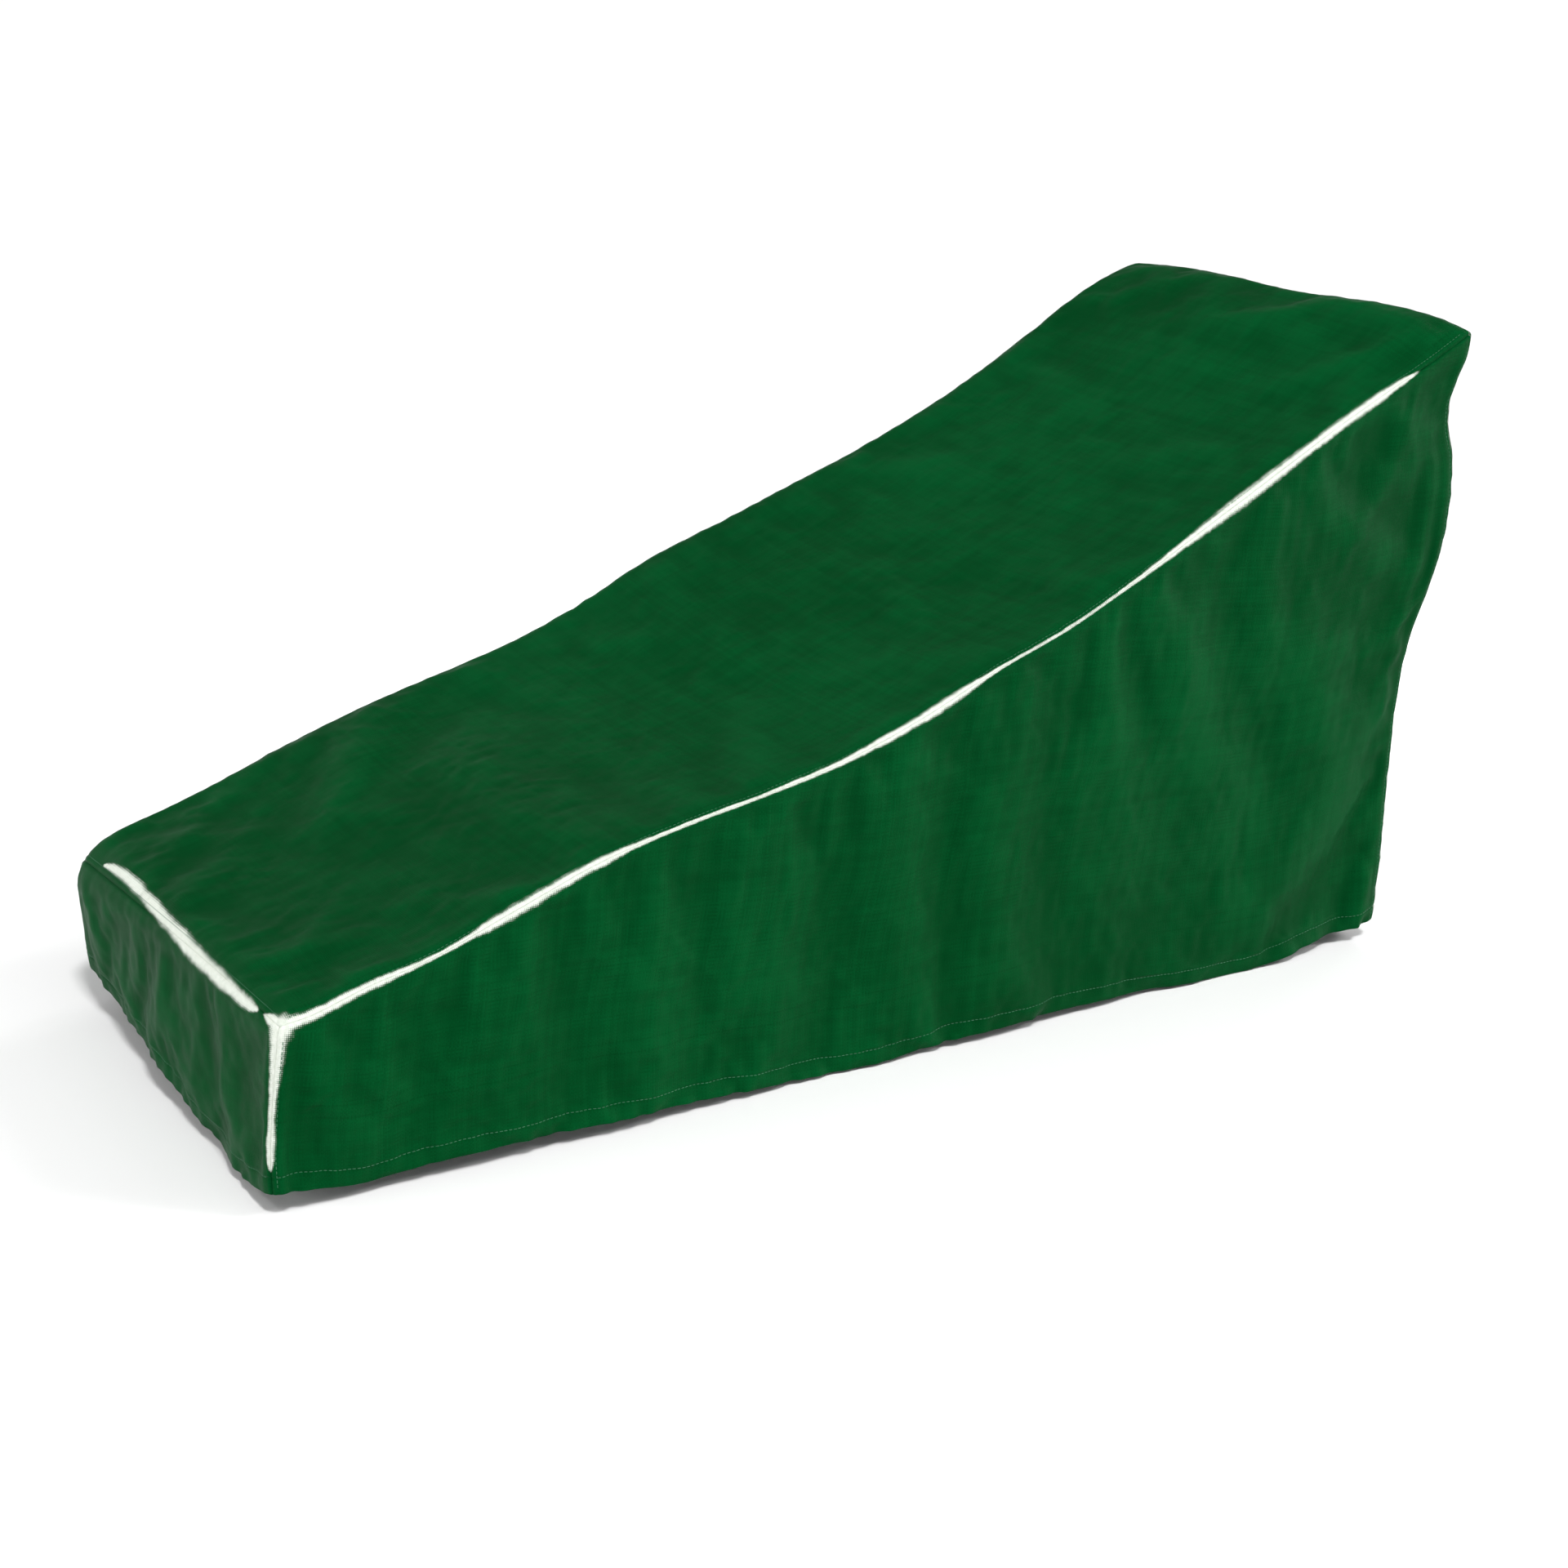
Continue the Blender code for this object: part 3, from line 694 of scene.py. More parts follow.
SETTLE_FRAMES = 26
SETTLE_CAP = 0.013
BROAD = 0.090            # reach of the broad sag
_settled = {}


def share_coordinates(panel, u, v):
    """(u, v) as shares of the panel's length and of its height there."""
    if panel == "top":
        return u / TOP_LENGTH, v / WIDTH
    size = TOP_LENGTH if panel in ("near", "far") else WIDTH
    return u / size, v / panel_height(panel, u)


def blurred(field, reach_a, reach_b):
    """A grid of vectors with everything finer than the reach smoothed away."""
    for axis, reach in ((0, reach_a), (1, reach_b)):
        count = field.shape[axis]
        steps = np.arange(-int(3 * reach) - 1, int(3 * reach) + 2)
        share = np.exp(-(steps / reach) ** 2 / 2)
        share = share / share.sum()
        out = 0.0
        for step, weight in zip(steps, share):
            at = np.abs(np.arange(count) + step)
            at = (count - 1) - np.abs((count - 1) - at)
            out = out + weight * np.take(field, np.clip(at, 0, count - 1), axis=axis)
        field = out
    return field


def settle(panel):
    rows, cols, slack, hem, pull, bend, broad, fold = SETTLE[panel]
    size = TOP_LENGTH if panel in ("top", "near", "far") else WIDTH
    a, b = np.meshgrid(np.linspace(0.0008, 0.9992, rows), np.linspace(0.0, 0.999, cols), indexing="ij")
    u = a * size
    if panel == "top":
        v = (0.001 + 0.998 * b / 0.999) * WIDTH
    else:
        v = b * panel_height(panel, u)
    base = smooth_at(panel, u, v)
    n = normals_at(panel, u, v, base)
    start = base + n * (0.0016 * noise(base, 0.16, 81) + 0.0010 * noise(base, 0.08, 82))[..., None]
    index = np.arange(rows * cols).reshape(rows, cols)
    quads = np.stack([index[:-1, :-1].ravel(), index[1:, :-1].ravel(),
                      index[1:, 1:].ravel(), index[:-1, 1:].ravel()], -1)
    mesh = bpy.data.meshes.new("settling")
    mesh.from_pydata(start.reshape(-1, 3).tolist(), [], quads.tolist())
    obj = bpy.data.objects.new("settling", mesh)
    bpy.context.scene.collection.objects.link(obj)
    group = obj.vertex_groups.new(name="held")
    hold = np.zeros((rows, cols))
    for k, w in ((0, 1.0), (1, 0.6)):
        hold[k, :] = np.maximum(hold[k, :], w)
        hold[-1 - k, :] = np.maximum(hold[-1 - k, :], w)
        hold[:, -1 - k] = np.maximum(hold[:, -1 - k], w)
    for k, w in ((0, hem), (1, hem * 0.6)):
        hold[:, k] = np.maximum(hold[:, k], w)
    hold[0, :] = hold[-1, :] = 1.0
    for w in np.unique(hold):
        if w > 0:
            group.add(index[hold == w].tolist(), float(w), "REPLACE")
    mod = obj.modifiers.new("cloth", "CLOTH")
    s = mod.settings
    s.quality = 6
    s.mass = 0.02
    s.tension_stiffness = s.compression_stiffness = 18.0
    s.shear_stiffness = 8.0
    s.bending_stiffness = bend
    s.tension_damping = s.compression_damping = 8.0
    s.air_damping = 2.0
    s.vertex_group_mass = "held"
    s.pin_stiffness = 1.0
    s.shrink_min = -slack
    s.effector_weights.gravity = pull
    mod.collision_settings.use_collision = False
    mod.collision_settings.use_self_collision = False
    scene = bpy.context.scene
    mod.point_cache.frame_start, mod.point_cache.frame_end = 1, SETTLE_FRAMES
    for frame_number in range(1, SETTLE_FRAMES + 1):
        scene.frame_set(frame_number)
    done = obj.evaluated_get(bpy.context.evaluated_depsgraph_get()).to_mesh()
    co = np.empty(rows * cols * 3, dtype=np.float32)
    done.vertices.foreach_get("co", co)
    moved = co.reshape(rows, cols, 3).astype(float) - base
    bpy.data.objects.remove(obj, do_unlink=True)
    bpy.data.meshes.remove(mesh)
    scene.frame_set(1)
    sag = blurred(moved, BROAD * (rows - 1) / size, BROAD * (cols - 1) / float(v[:, -1].mean()))
    moved = fold * (moved - sag) + broad * sag
    size = np.linalg.norm(moved, axis=-1, keepdims=True)
    moved = moved * (SETTLE_CAP * np.tanh(size / SETTLE_CAP) / np.maximum(size, 1e-9))
    print("settled", panel, "mean mm", round(float(size.mean()) * 1000, 2), "max mm", round(float(size.max()) * 1000, 2))
    return moved


def cubic(field, a, b):
    """Smooth reading of a regular grid at shares (a, b) of its two sides."""
    rows, cols = field.shape[:2]
    x = np.clip(a, 0, 1) * (rows - 1)
    y = np.clip(b, 0, 1) * (cols - 1)
    i, j = np.minimum(np.floor(x).astype(int), rows - 2), np.minimum(np.floor(y).astype(int), cols - 2)
    fx, fy = x - i, y - j

    def weights(t):
        return (-0.5 * t + t * t - 0.5 * t ** 3, 1 - 2.5 * t * t + 1.5 * t ** 3,
                0.5 * t + 2 * t * t - 1.5 * t ** 3, -0.5 * t * t + 0.5 * t ** 3)

    wx, wy = weights(fx), weights(fy)
    out = 0.0
    for m in range(4):
        ii = np.clip(i + m - 1, 0, rows - 1)
        for k in range(4):
            jj = np.clip(j + k - 1, 0, cols - 1)
            out = out + (wx[m] * wy[k])[..., None] * field[ii, jj]
    return out


def settled_at(panel, u, v):
    if panel not in _settled:
        _settled[panel] = settle(panel)
    a, b = share_coordinates(panel, u, v)
    seams = seams_of(panel, u, v)
    nearest = np.minimum.reduce([d for _, d, _ in seams])
    moved = cubic(_settled[panel], a, b) * ease(nearest / 0.040)[..., None]
    if panel != "top":                   # the hem keeps its level
        moved[..., 2] = moved[..., 2] * ease(v / 0.16)
    return moved


# ----------------------------------------------------------- painted highlights on the seams
def band(d, wide):
    """A band about `wide` across, centred on d = 0: full in its middle and
    fading to nothing at its edges."""
    half = np.maximum(wide / 2, 1e-5)
    fade = np.exp(-np.abs(d / (0.90 * half + 0.0006)) ** 2.2)
    return np.where(half > 0.0006, fade * ease(half / 0.0022), 0.0)


# painted highlight: pale bands along the seams and a pale spot at the near foot corner
def painted_highlights(panel, u, v, p):
    out = np.zeros_like(u)
    ragged = 0.0014 * noise(p, 0.030, 51) + 0.0006 * noise(p, 0.011, 52)
    for name, d, s in seams_of(panel, u, v):
        side = d if panel == "top" else -d
        if name == "near":
            table = NEAR_HIGHLIGHT
        elif name == "foot":
            table = FOOT_HIGHLIGHT
        elif name in ("foot_near",) or (panel == "foot" and name == "foot_near"):
            table = CORNER_HIGHLIGHT
        # a faint painted highlight along the other seams
        else:
            faint = 0.42 * band(d + ragged, FAINT_HIGHLIGHT + 0.003 * (along_noise(s, 0.12, 55) + 0.3))
            out = np.maximum(out, faint)
            continue
        wide, shift = straight(table, 0, 1, s), straight(table, 0, 2, s)
        d = np.abs(side - shift) if name != "foot_near" else d
        out = np.maximum(out, band(d + ragged * np.minimum(wide / 0.012, 1.3), wide))
    # painted highlight spot at the near foot corner
    if panel in ("near", "top", "foot"):
        corner = skin(np.array([0.0]), np.array([0.0]), full_height(np.zeros(1), np.zeros(1)))[0]
        d = np.sqrt(((p - corner) ** 2).sum(-1))
        out = np.maximum(out, np.exp(-np.abs((d + ragged) / 0.0150) ** 2.6))
    return out


# ------------------------------------------------------------------- meshes
EDGE_ROWS = (SEAM_GAP, 0.0012, 0.0026, 0.0042, 0.0060, 0.0080, 0.0102, 0.0126, 0.0152,
             0.0182, 0.0216, 0.0256, 0.0300)
HEM_ROWS = (0.0, 0.00030, 0.00075, 0.0014, 0.0035, 0.0070, 0.0110, 0.0150, 0.0185,
            0.0206, 0.0218, 0.0225, 0.0232, 0.0244, 0.0264, 0.0280, 0.0285, 0.0310,
            0.0350, 0.0400)


def stations(length, count):
    """Places along a panel: the turned edges' own rows, and even ones between."""
    first = EDGE_ROWS[-1]
    even = np.linspace(first, length - first, count + 1)
    return np.concatenate([EDGE_ROWS[:-1], even, length - np.array(EDGE_ROWS[:-1])[::-1]])


def upright(panel, us, count):
    """Rows up a side or end: one list of heights for each place along it."""
    high = panel_height(panel, us)
    hem = np.array(HEM_ROWS)
    top = np.array(EDGE_ROWS)
    grid = []
    for r in range(len(hem)):
        grid.append(np.full_like(us, hem[r]))
    for r in range(1, count):
        grid.append(hem[-1] + (high - top[-1] - hem[-1]) * r / count)
    for r in range(len(top)):
        grid.append(high - top[len(top) - 1 - r])
    return np.array(grid).T


LS = stations(TOP_LENGTH, 340)
WS = stations(WIDTH, 92)


def panel_grid(panel):
    if panel == "top":
        return np.repeat(LS[:, None], len(WS), 1), np.repeat(WS[None, :], len(LS), 0)
    if panel in ("near", "far"):
        v = upright(panel, LS, 74)
        return np.repeat(LS[:, None], v.shape[1], 1), v
    v = upright(panel, WS, 22 if panel == "foot" else 86)
    return np.repeat(WS[:, None], v.shape[1], 1), v


def panel_mesh(name, panel):
    u, v = panel_grid(panel)
    p, n = cloth_at(panel, u, v)
    thick = np.full(u.shape, CLOTH)
    sink = np.zeros(u.shape)
    if panel != "top":
        doubled = v <= HEM_DEPTH + 1e-6
        thick = np.where(doubled, HEM_CLOTH, CLOTH)
        edge = np.clip(1 - v / (HEM_CLOTH / 2), 0, 1)
        rounded = HEM_CLOTH * np.sqrt(np.clip(1 - edge * edge, 0, 1))
        rounded = np.maximum(rounded, 0.00035)
        sink = np.where(v < HEM_CLOTH / 2, (HEM_CLOTH - rounded) / 2, 0.0)
        thick = np.where(v < HEM_CLOTH / 2, rounded, thick)
    outer = p - n * sink[..., None]
    inner = outer - n * thick[..., None]
    base = smooth_at(panel, u, v)
    # painted highlight along the seams, shaped like highlight strokes
    highlit = painted_highlights(panel, u, v, base)
    # how far each place stands above the cloth round it: crests and hollows, used for painted light and shade
    # on the folds
    rise = ((p - base) * n).sum(-1)[..., None]
    rise = blurred(rise, 1.0, 0.8) - blurred(rise, 5.0, 3.5)
    fold_shade = np.tanh(rise[..., 0] / 0.0022)
    rows, cols = u.shape
    count = rows * cols
    verts = np.concatenate([outer.reshape(-1, 3), inner.reshape(-1, 3)]) - BEARING
    uv = np.stack([u.ravel(), v.ravel()], -1)
    uv = np.concatenate([uv, uv])
    highlight_paint = np.concatenate([highlit.ravel(), highlit.ravel() * 0.0])
    fold_shade = np.concatenate([fold_shade.ravel(), -fold_shade.ravel()])

    index = np.arange(count).reshape(rows, cols)
    a, b = index[:-1, :-1].ravel(), index[:-1, 1:].ravel()
    c, d = index[1:, 1:].ravel(), index[1:, :-1].ravel()
    quads = np.stack([a, b, c, d], -1)
    facing = np.cross(verts[quads[:, 1]] - verts[quads[:, 0]], verts[quads[:, 3]] - verts[quads[:, 0]])
    if (facing * np.array(OUTWARD[panel])).sum() < 0:
        quads = quads[:, ::-1]
        turned = True
    else:
        turned = False
    ring = np.concatenate([index[0, :], index[1:, -1], index[-1, -2::-1], index[-2:0:-1, 0]])
    nxt = np.roll(ring, -1)
    rim = np.stack([nxt, ring, ring + count, nxt + count], -1)
    if turned:
        rim = rim[:, ::-1]
    faces = np.concatenate([quads, quads[:, ::-1] + count, rim])
    side = np.concatenate([np.zeros(len(quads)), np.ones(len(quads)), np.zeros(len(rim))]).astype(np.int32)

    mesh = bpy.data.meshes.new(name)
    mesh.vertices.add(len(verts))
    mesh.vertices.foreach_set("co", verts.astype(np.float32).ravel())
    mesh.loops.add(faces.size)
    mesh.loops.foreach_set("vertex_index", faces.astype(np.int32).ravel())
    mesh.polygons.add(len(faces))
    mesh.polygons.foreach_set("loop_start", np.arange(0, faces.size, 4, dtype=np.int32))
    mesh.polygons.foreach_set("material_index", side)
    mesh.update(calc_edges=True)
    layer = mesh.uv_layers.new(name="cloth")
    layer.data.foreach_set("uv", uv[faces.ravel()].astype(np.float32).ravel())
    # the painted highlight along the seams, read by the outer material
    attr = mesh.attributes.new("highlight_paint", "FLOAT", "POINT")
    attr.data.foreach_set("value", highlight_paint.astype(np.float32))
    # painted light and shade on the folds, read by the outer material
    attr = mesh.attributes.new("fold_shade", "FLOAT", "POINT")
    attr.data.foreach_set("value", fold_shade.astype(np.float32))
    mesh.validate()
    mesh.shade_smooth()
    mesh.set_sharp_from_angle(angle=math.radians(62))
    obj = bpy.data.objects.new(name, mesh)
    bpy.context.scene.collection.objects.link(obj)
    return obj


# ------------------------------------------------------------------ stitches
def stitch_template():
    """One short fat stitch along +X: rounded ends, six sides."""
    rings = [(-0.40, 0.72), (0.0, 1.0), (0.40, 0.72)]
    verts = [(-0.5, 0.0, 0.0)]
    for x, r in rings:
        for k in range(6):
            a = math.pi * (k + 0.5) / 3
            verts.append((x, r * math.cos(a), r * math.sin(a)))
    verts.append((0.5, 0.0, 0.0))
    faces = [(0, 1 + (k + 1) % 6, 1 + k) for k in range(6)]
    for ring in range(2):
        for k in range(6):
            p, q = 1 + ring * 6 + k, 1 + ring * 6 + (k + 1) % 6
            faces += [(p, q, q + 6), (p, q + 6, p + 6)]
    last = len(verts) - 1
    faces += [(last, 13 + k, 13 + (k + 1) % 6) for k in range(6)]
    return np.array(verts), np.array(faces)


def stitch_row(panel, u, v, seed):
    """Stitches along a line of a panel's coordinates, one pitch apart."""
    p, n = cloth_at(panel, u, v)
    s = np.concatenate([[0], np.cumsum(np.linalg.norm(np.diff(p, axis=0), axis=1))])
    rng = np.random.RandomState(seed)
    at = np.arange(STITCH_PITCH * 1.5, s[-1] - STITCH_PITCH, STITCH_PITCH)
    at = at + rng.uniform(-0.0003, 0.0003, len(at))

    def read(values, where):
        return np.stack([np.interp(where, s, values[:, k]) for k in range(3)], -1)

    length = STITCH_PITCH * rng.uniform(0.70, 0.78, len(at))
    a, b = read(p, at - length / 2), read(p, at + length / 2)
    up = unit(read(n, at))
    x = unit(b - a)
    y = unit(np.cross(up, x))
    z = np.cross(x, y)
    mid = (a + b) / 2 + z * 0.00012
    tv, tf = stitch_template()
    thread = 0.00055
    verts = (mid[:, None] + x[:, None] * (tv[None, :, :1] * length[:, None, None])
             + y[:, None] * (tv[None, :, 1:2] * thread) + z[:, None] * (tv[None, :, 2:3] * thread * 0.8))
    faces = tf[None] + (np.arange(len(at)) * len(tv))[:, None, None]
    return verts.reshape(-1, 3), faces.reshape(-1, 3)


def joined(name, parts):
    verts, faces, base = [], [], 0
    for v, f in parts:
        verts.append(v)
        faces.append(f + base)
        base += len(v)
    verts = np.concatenate(verts) - BEARING
    faces = np.concatenate(faces)
    mesh = bpy.data.meshes.new(name)
    mesh.from_pydata(verts.tolist(), [], faces.tolist())
    mesh.shade_smooth()
    obj = bpy.data.objects.new(name, mesh)
    bpy.context.scene.collection.objects.link(obj)
    return obj


def inset(r, distance):
    """The place in a panel's coordinate that lies `distance` over the cloth
    from a seam in the middle of a turn of radius r."""
    flat = r * math.pi / 4
    turned = r - r * np.tan(math.pi / 4 - np.minimum(distance / r, math.pi / 4))
    return np.where(distance < flat, turned, r + distance - flat)


def seam_rows():
    parts = []
    us = np.arange(0.012, TOP_LENGTH - 0.012, 0.002)
    for panel_side, w in (("near", 0.0), ("far", WIDTH)):
        ry = column(RIDGES, 0, 5 if w == 0.0 else 6, us)
        t = inset(ry, STITCH_IN)
        parts.append(stitch_row("top", us, t if w == 0.0 else WIDTH - t, 61 if w == 0.0 else 62))
    ws = np.arange(0.012, WIDTH - 0.012, 0.002)
    for end in ("foot", "back"):
        at = np.zeros_like(ws) if end == "foot" else np.full_like(ws, TOP_LENGTH)
        rx = turn_radii(at, ws / WIDTH, np.ones_like(ws))[0]
        t = inset(rx, STITCH_IN)
        parts.append(stitch_row("top", t if end == "foot" else TOP_LENGTH - t, ws, 63 if end == "foot" else 64))
    for panel in ("near", "far"):
        for end, seed in (("foot", 65), ("back", 67)):
            at = 0.0 if end == "foot" else TOP_LENGTH
            high = float(panel_height(panel, np.array([at]))[0])
            vs = np.arange(0.003, high - 0.016, 0.002)
            across = np.full_like(vs, 0.0 if panel == "near" else 1.0)
            rx = turn_radii(np.full_like(vs, at), across, vs / high)[0]
            t = inset(rx, STITCH_IN)
            u = t if end == "foot" else TOP_LENGTH - t
            parts.append(stitch_row(panel, u, vs, seed + (panel == "far")))
    return parts


def hem_rows():
    parts = []
    for k, panel in enumerate(("near", "far", "foot", "back")):
        size = TOP_LENGTH if panel in ("near", "far") else WIDTH
        u = np.arange(0.0015, size - 0.0015, 0.002)
        parts.append(stitch_row(panel, u, np.full_like(u, HEM_STITCH), 71 + k))
    return parts


# ---------------------------------------------------------------- materials
class Nodes:
    """Short hand for building a material's nodes."""

    def __init__(self, name):
        self.mat = bpy.data.materials.new(name)
        self.mat.use_nodes = True
        self.tree = self.mat.node_tree
        self.shader = self.tree.nodes["Principled BSDF"]

    def add(self, kind, **values):
        node = self.tree.nodes.new(kind)
        for key, value in values.items():
            setattr(node, key, value)
        return node

    def feed(self, value, socket):
        if isinstance(value, bpy.types.NodeSocket):
            self.tree.links.new(value, socket)
        else:
            socket.default_value = value

    def math(self, operation, a, b=0.0, c=0.0, clamp=False):
        node = self.add("ShaderNodeMath", operation=operation, use_clamp=clamp)
        for value, socket in zip((a, b, c), node.inputs):
            self.feed(value, socket)
        return node.outputs[0]

    def mix(self, factor, a, b):
        node = self.add("ShaderNodeMix", data_type="RGBA")
        self.feed(factor, node.inputs["Factor"])
        colours = [s for s in node.inputs if s.type == "RGBA"]
        self.feed(a, colours[0])
        self.feed(b, colours[1])
        return [s for s in node.outputs if s.type == "RGBA"][0]

    def ramp(self, value, low, high, out_low=0.0, out_high=1.0):
        node = self.add("ShaderNodeMapRange", interpolation_type="SMOOTHSTEP")
        for v, k in ((value, "Value"), (low, "From Min"), (high, "From Max"),
                     (out_low, "To Min"), (out_high, "To Max")):
            self.feed(v, node.inputs[k])
        return node.outputs["Result"]

    def noise(self, vector, scale, detail=2.0, rough=0.5, distortion=0.0):
        node = self.add("ShaderNodeTexNoise")
        self.feed(vector, node.inputs["Vector"])
        node.inputs["Scale"].default_value = scale
        node.inputs["Detail"].default_value = detail
        node.inputs["Roughness"].default_value = rough
        node.inputs["Distortion"].default_value = distortion
        return node.outputs["Fac"]

    def bump(self, height, strength, distance, normal=None):
        node = self.add("ShaderNodeBump")
        node.inputs["Strength"].default_value = strength
        node.inputs["Distance"].default_value = distance
        self.feed(height, node.inputs["Height"])
        if normal is not None:
            self.feed(normal, node.inputs["Normal"])
        return node.outputs["Normal"]

    def place(self):
        return self.add("ShaderNodeTexCoord").outputs["Object"]


def weave(n):
    """Plain weave of flat tapes from the panel's own coordinates: the height
    of the cloth, and a number for each tape that differs from tape to tape."""
    uv = n.add("ShaderNodeUVMap", uv_map="cloth").outputs["UV"]
    split = n.add("ShaderNodeSeparateXYZ")
    n.feed(uv, split.inputs[0])
    u = n.math("DIVIDE", split.outputs["X"], TAPE)
    v = n.math("DIVIDE", split.outputs["Y"], TAPE)
    cell_u, cell_v = n.math("FLOOR", u), n.math("FLOOR", v)
    fu, fv = n.math("FRACT", u), n.math("FRACT", v)
    over = n.math("MODULO", n.math("ABSOLUTE", n.math("ADD", cell_u, cell_v)), 2.0)

    def hump(f, power):
        s = n.math("ABSOLUTE", n.math("SUBTRACT", n.math("MULTIPLY", f, 2.0), 1.0))
        return n.math("SUBTRACT", 1.0, n.math("POWER", s, power))

    # a tape is flat across its width and arched where it passes over another
    warp = n.math("MULTIPLY", hump(fu, 6.0), n.math("ADD", 0.45, n.math("MULTIPLY", hump(fv, 2.0), 0.55)))
    weft = n.math("MULTIPLY", hump(fv, 6.0), n.math("ADD", 0.45, n.math("MULTIPLY", hump(fu, 2.0), 0.55)))
    height = n.math("ADD", n.math("MULTIPLY", warp, over),
                    n.math("MULTIPLY", weft, n.math("SUBTRACT", 1.0, over)))
    tone_u = n.add("ShaderNodeTexWhiteNoise", noise_dimensions="1D")
    n.feed(cell_u, tone_u.inputs["W"])
    tone_v = n.add("ShaderNodeTexWhiteNoise", noise_dimensions="1D")
    n.feed(n.math("ADD", cell_v, 517.0), tone_v.inputs["W"])
    tone = n.math("ADD", n.math("MULTIPLY", tone_u.outputs["Value"], over),
                  n.math("MULTIPLY", tone_v.outputs["Value"], n.math("SUBTRACT", 1.0, over)))
    return height, tone, over


def outer_cloth():
    n = Nodes("coated_green_cloth")
    at = n.place()
    height, tone, over = weave(n)
    broad = n.noise(at, 2.2, 3.0, 0.55)
    blotch = n.noise(at, 17.0, 3.0, 0.6)
    fine = n.noise(at, 240.0, 2.0, 0.6)
    deep = (0.0002, 0.0405, 0.0083, 1.0)
    light = (0.0008, 0.0685, 0.0157, 1.0)
    shade = n.math("ADD", n.math("MULTIPLY", broad, 0.55), n.math("MULTIPLY", blotch, 0.30))
    shade = n.math("ADD", shade, n.math("MULTIPLY", tone, 0.16))
    # painted light and shade on the folds: crests lighter, hollows darker
    fold_shade = n.add("ShaderNodeAttribute", attribute_name="fold_shade").outputs["Fac"]
    shade = n.math("ADD", shade, n.math("MULTIPLY", fold_shade, 0.100))
    colour = n.mix(n.ramp(shade, 0.32, 0.78), deep, light)
    # the gaps between the tapes are darker
    gap = n.ramp(height, 0.0, 0.45)
    colour = n.mix(n.math("MULTIPLY", n.math("SUBTRACT", 1.0, gap), 0.45), colour, (0.0006, 0.030, 0.009, 1.0))
    # painted highlight along the seams: pale colour, strongest on the tapes' crowns
    highlight_paint = n.add("ShaderNodeAttribute", attribute_name="highlight_paint").outputs["Fac"]
    grain = n.noise(at, 120.0, 4.0, 0.65)
    highlit = n.math("ADD", highlight_paint, n.math("MULTIPLY", n.math("SUBTRACT", grain, 0.5), 0.60))
    highlit = n.math("ADD", highlit, n.math("MULTIPLY", n.math("SUBTRACT", height, 0.62), 0.55))
    highlit = n.ramp(highlit, 0.22, 0.86)
    highlit = n.math("MULTIPLY", highlit, n.ramp(highlight_paint, 0.03, 0.30))
    # the painted highlight's near-white colour
    highlight_white = n.mix(fine, (0.60, 0.66, 0.56, 1.0), (0.86, 0.88, 0.83, 1.0))
    colour = n.mix(n.math("MULTIPLY", highlit, 0.92), colour, highlight_white)
    n.feed(colour, n.shader.inputs["Base Color"])
    rough = n.math("ADD", 0.36, n.math("MULTIPLY", blotch, 0.14))
    rough = n.math("ADD", rough, n.math("MULTIPLY", highlit, 0.16))
    n.feed(rough, n.shader.inputs["Roughness"])
    n.shader.inputs["Metallic"].default_value = 0.0
    n.shader.inputs["Specular IOR Level"].default_value = 0.032
    n.shader.inputs["Specular Tint"].default_value = (0.20, 1.0, 0.50, 1.0)
    crumple = n.noise(at, 34.0, 3.0, 0.55, 0.6)
    soft = n.bump(crumple, 0.35, 0.0022)
    n.feed(n.bump(height, 0.55, 0.00030, soft), n.shader.inputs["Normal"])
    return n.mat


def inner_cloth():
    n = Nodes("green_cloth_inside")
    at = n.place()
    height, tone, over = weave(n)
    broad = n.noise(at, 3.0, 3.0, 0.55)
    shade = n.math("ADD", n.math("MULTIPLY", broad, 0.7), n.math("MULTIPLY", tone, 0.3))
    colour = n.mix(n.ramp(shade, 0.30, 0.75), (0.0040, 0.060, 0.0210, 1.0), (0.0085, 0.086, 0.0340, 1.0))
    gap = n.ramp(height, 0.0, 0.45)
    colour = n.mix(n.math("MULTIPLY", n.math("SUBTRACT", 1.0, gap), 0.5), colour, (0.0015, 0.026, 0.009, 1.0))
    n.feed(colour, n.shader.inputs["Base Color"])
    n.feed(n.math("ADD", 0.58, n.math("MULTIPLY", broad, 0.12)), n.shader.inputs["Roughness"])
    n.shader.inputs["Specular IOR Level"].default_value = 0.25
    n.feed(n.bump(height, 0.8, 0.00035), n.shader.inputs["Normal"])
    return n.mat


def thread():
    n = Nodes("green_thread")
    at = n.place()
    twist = n.noise(at, 1400.0, 2.0, 0.6)
    tint = n.noise(at, 60.0, 2.0, 0.5)
    colour = n.mix(n.ramp(tint, 0.3, 0.7), (0.010, 0.110, 0.042, 1.0), (0.022, 0.165, 0.070, 1.0))
    colour = n.mix(n.math("MULTIPLY", twist, 0.35), colour, (0.001, 0.022, 0.008, 1.0))
    n.feed(colour, n.shader.inputs["Base Color"])
    n.feed(n.math("ADD", 0.46, n.math("MULTIPLY", twist, 0.12)), n.shader.inputs["Roughness"])
    n.feed(n.bump(twist, 0.4, 0.00015), n.shader.inputs["Normal"])
    return n.mat


def pale_floor():
    n = Nodes("pale_floor")
    at = n.place()
    speck = n.noise(at, 0.6, 2.0, 0.5)
    colour = n.mix(speck, (0.90, 0.90, 0.90, 1.0), (0.92, 0.92, 0.92, 1.0))
    n.feed(colour, n.shader.inputs["Base Color"])
    n.shader.inputs["Roughness"].default_value = 0.9
    n.shader.inputs["Specular IOR Level"].default_value = 0.1
    return n.mat


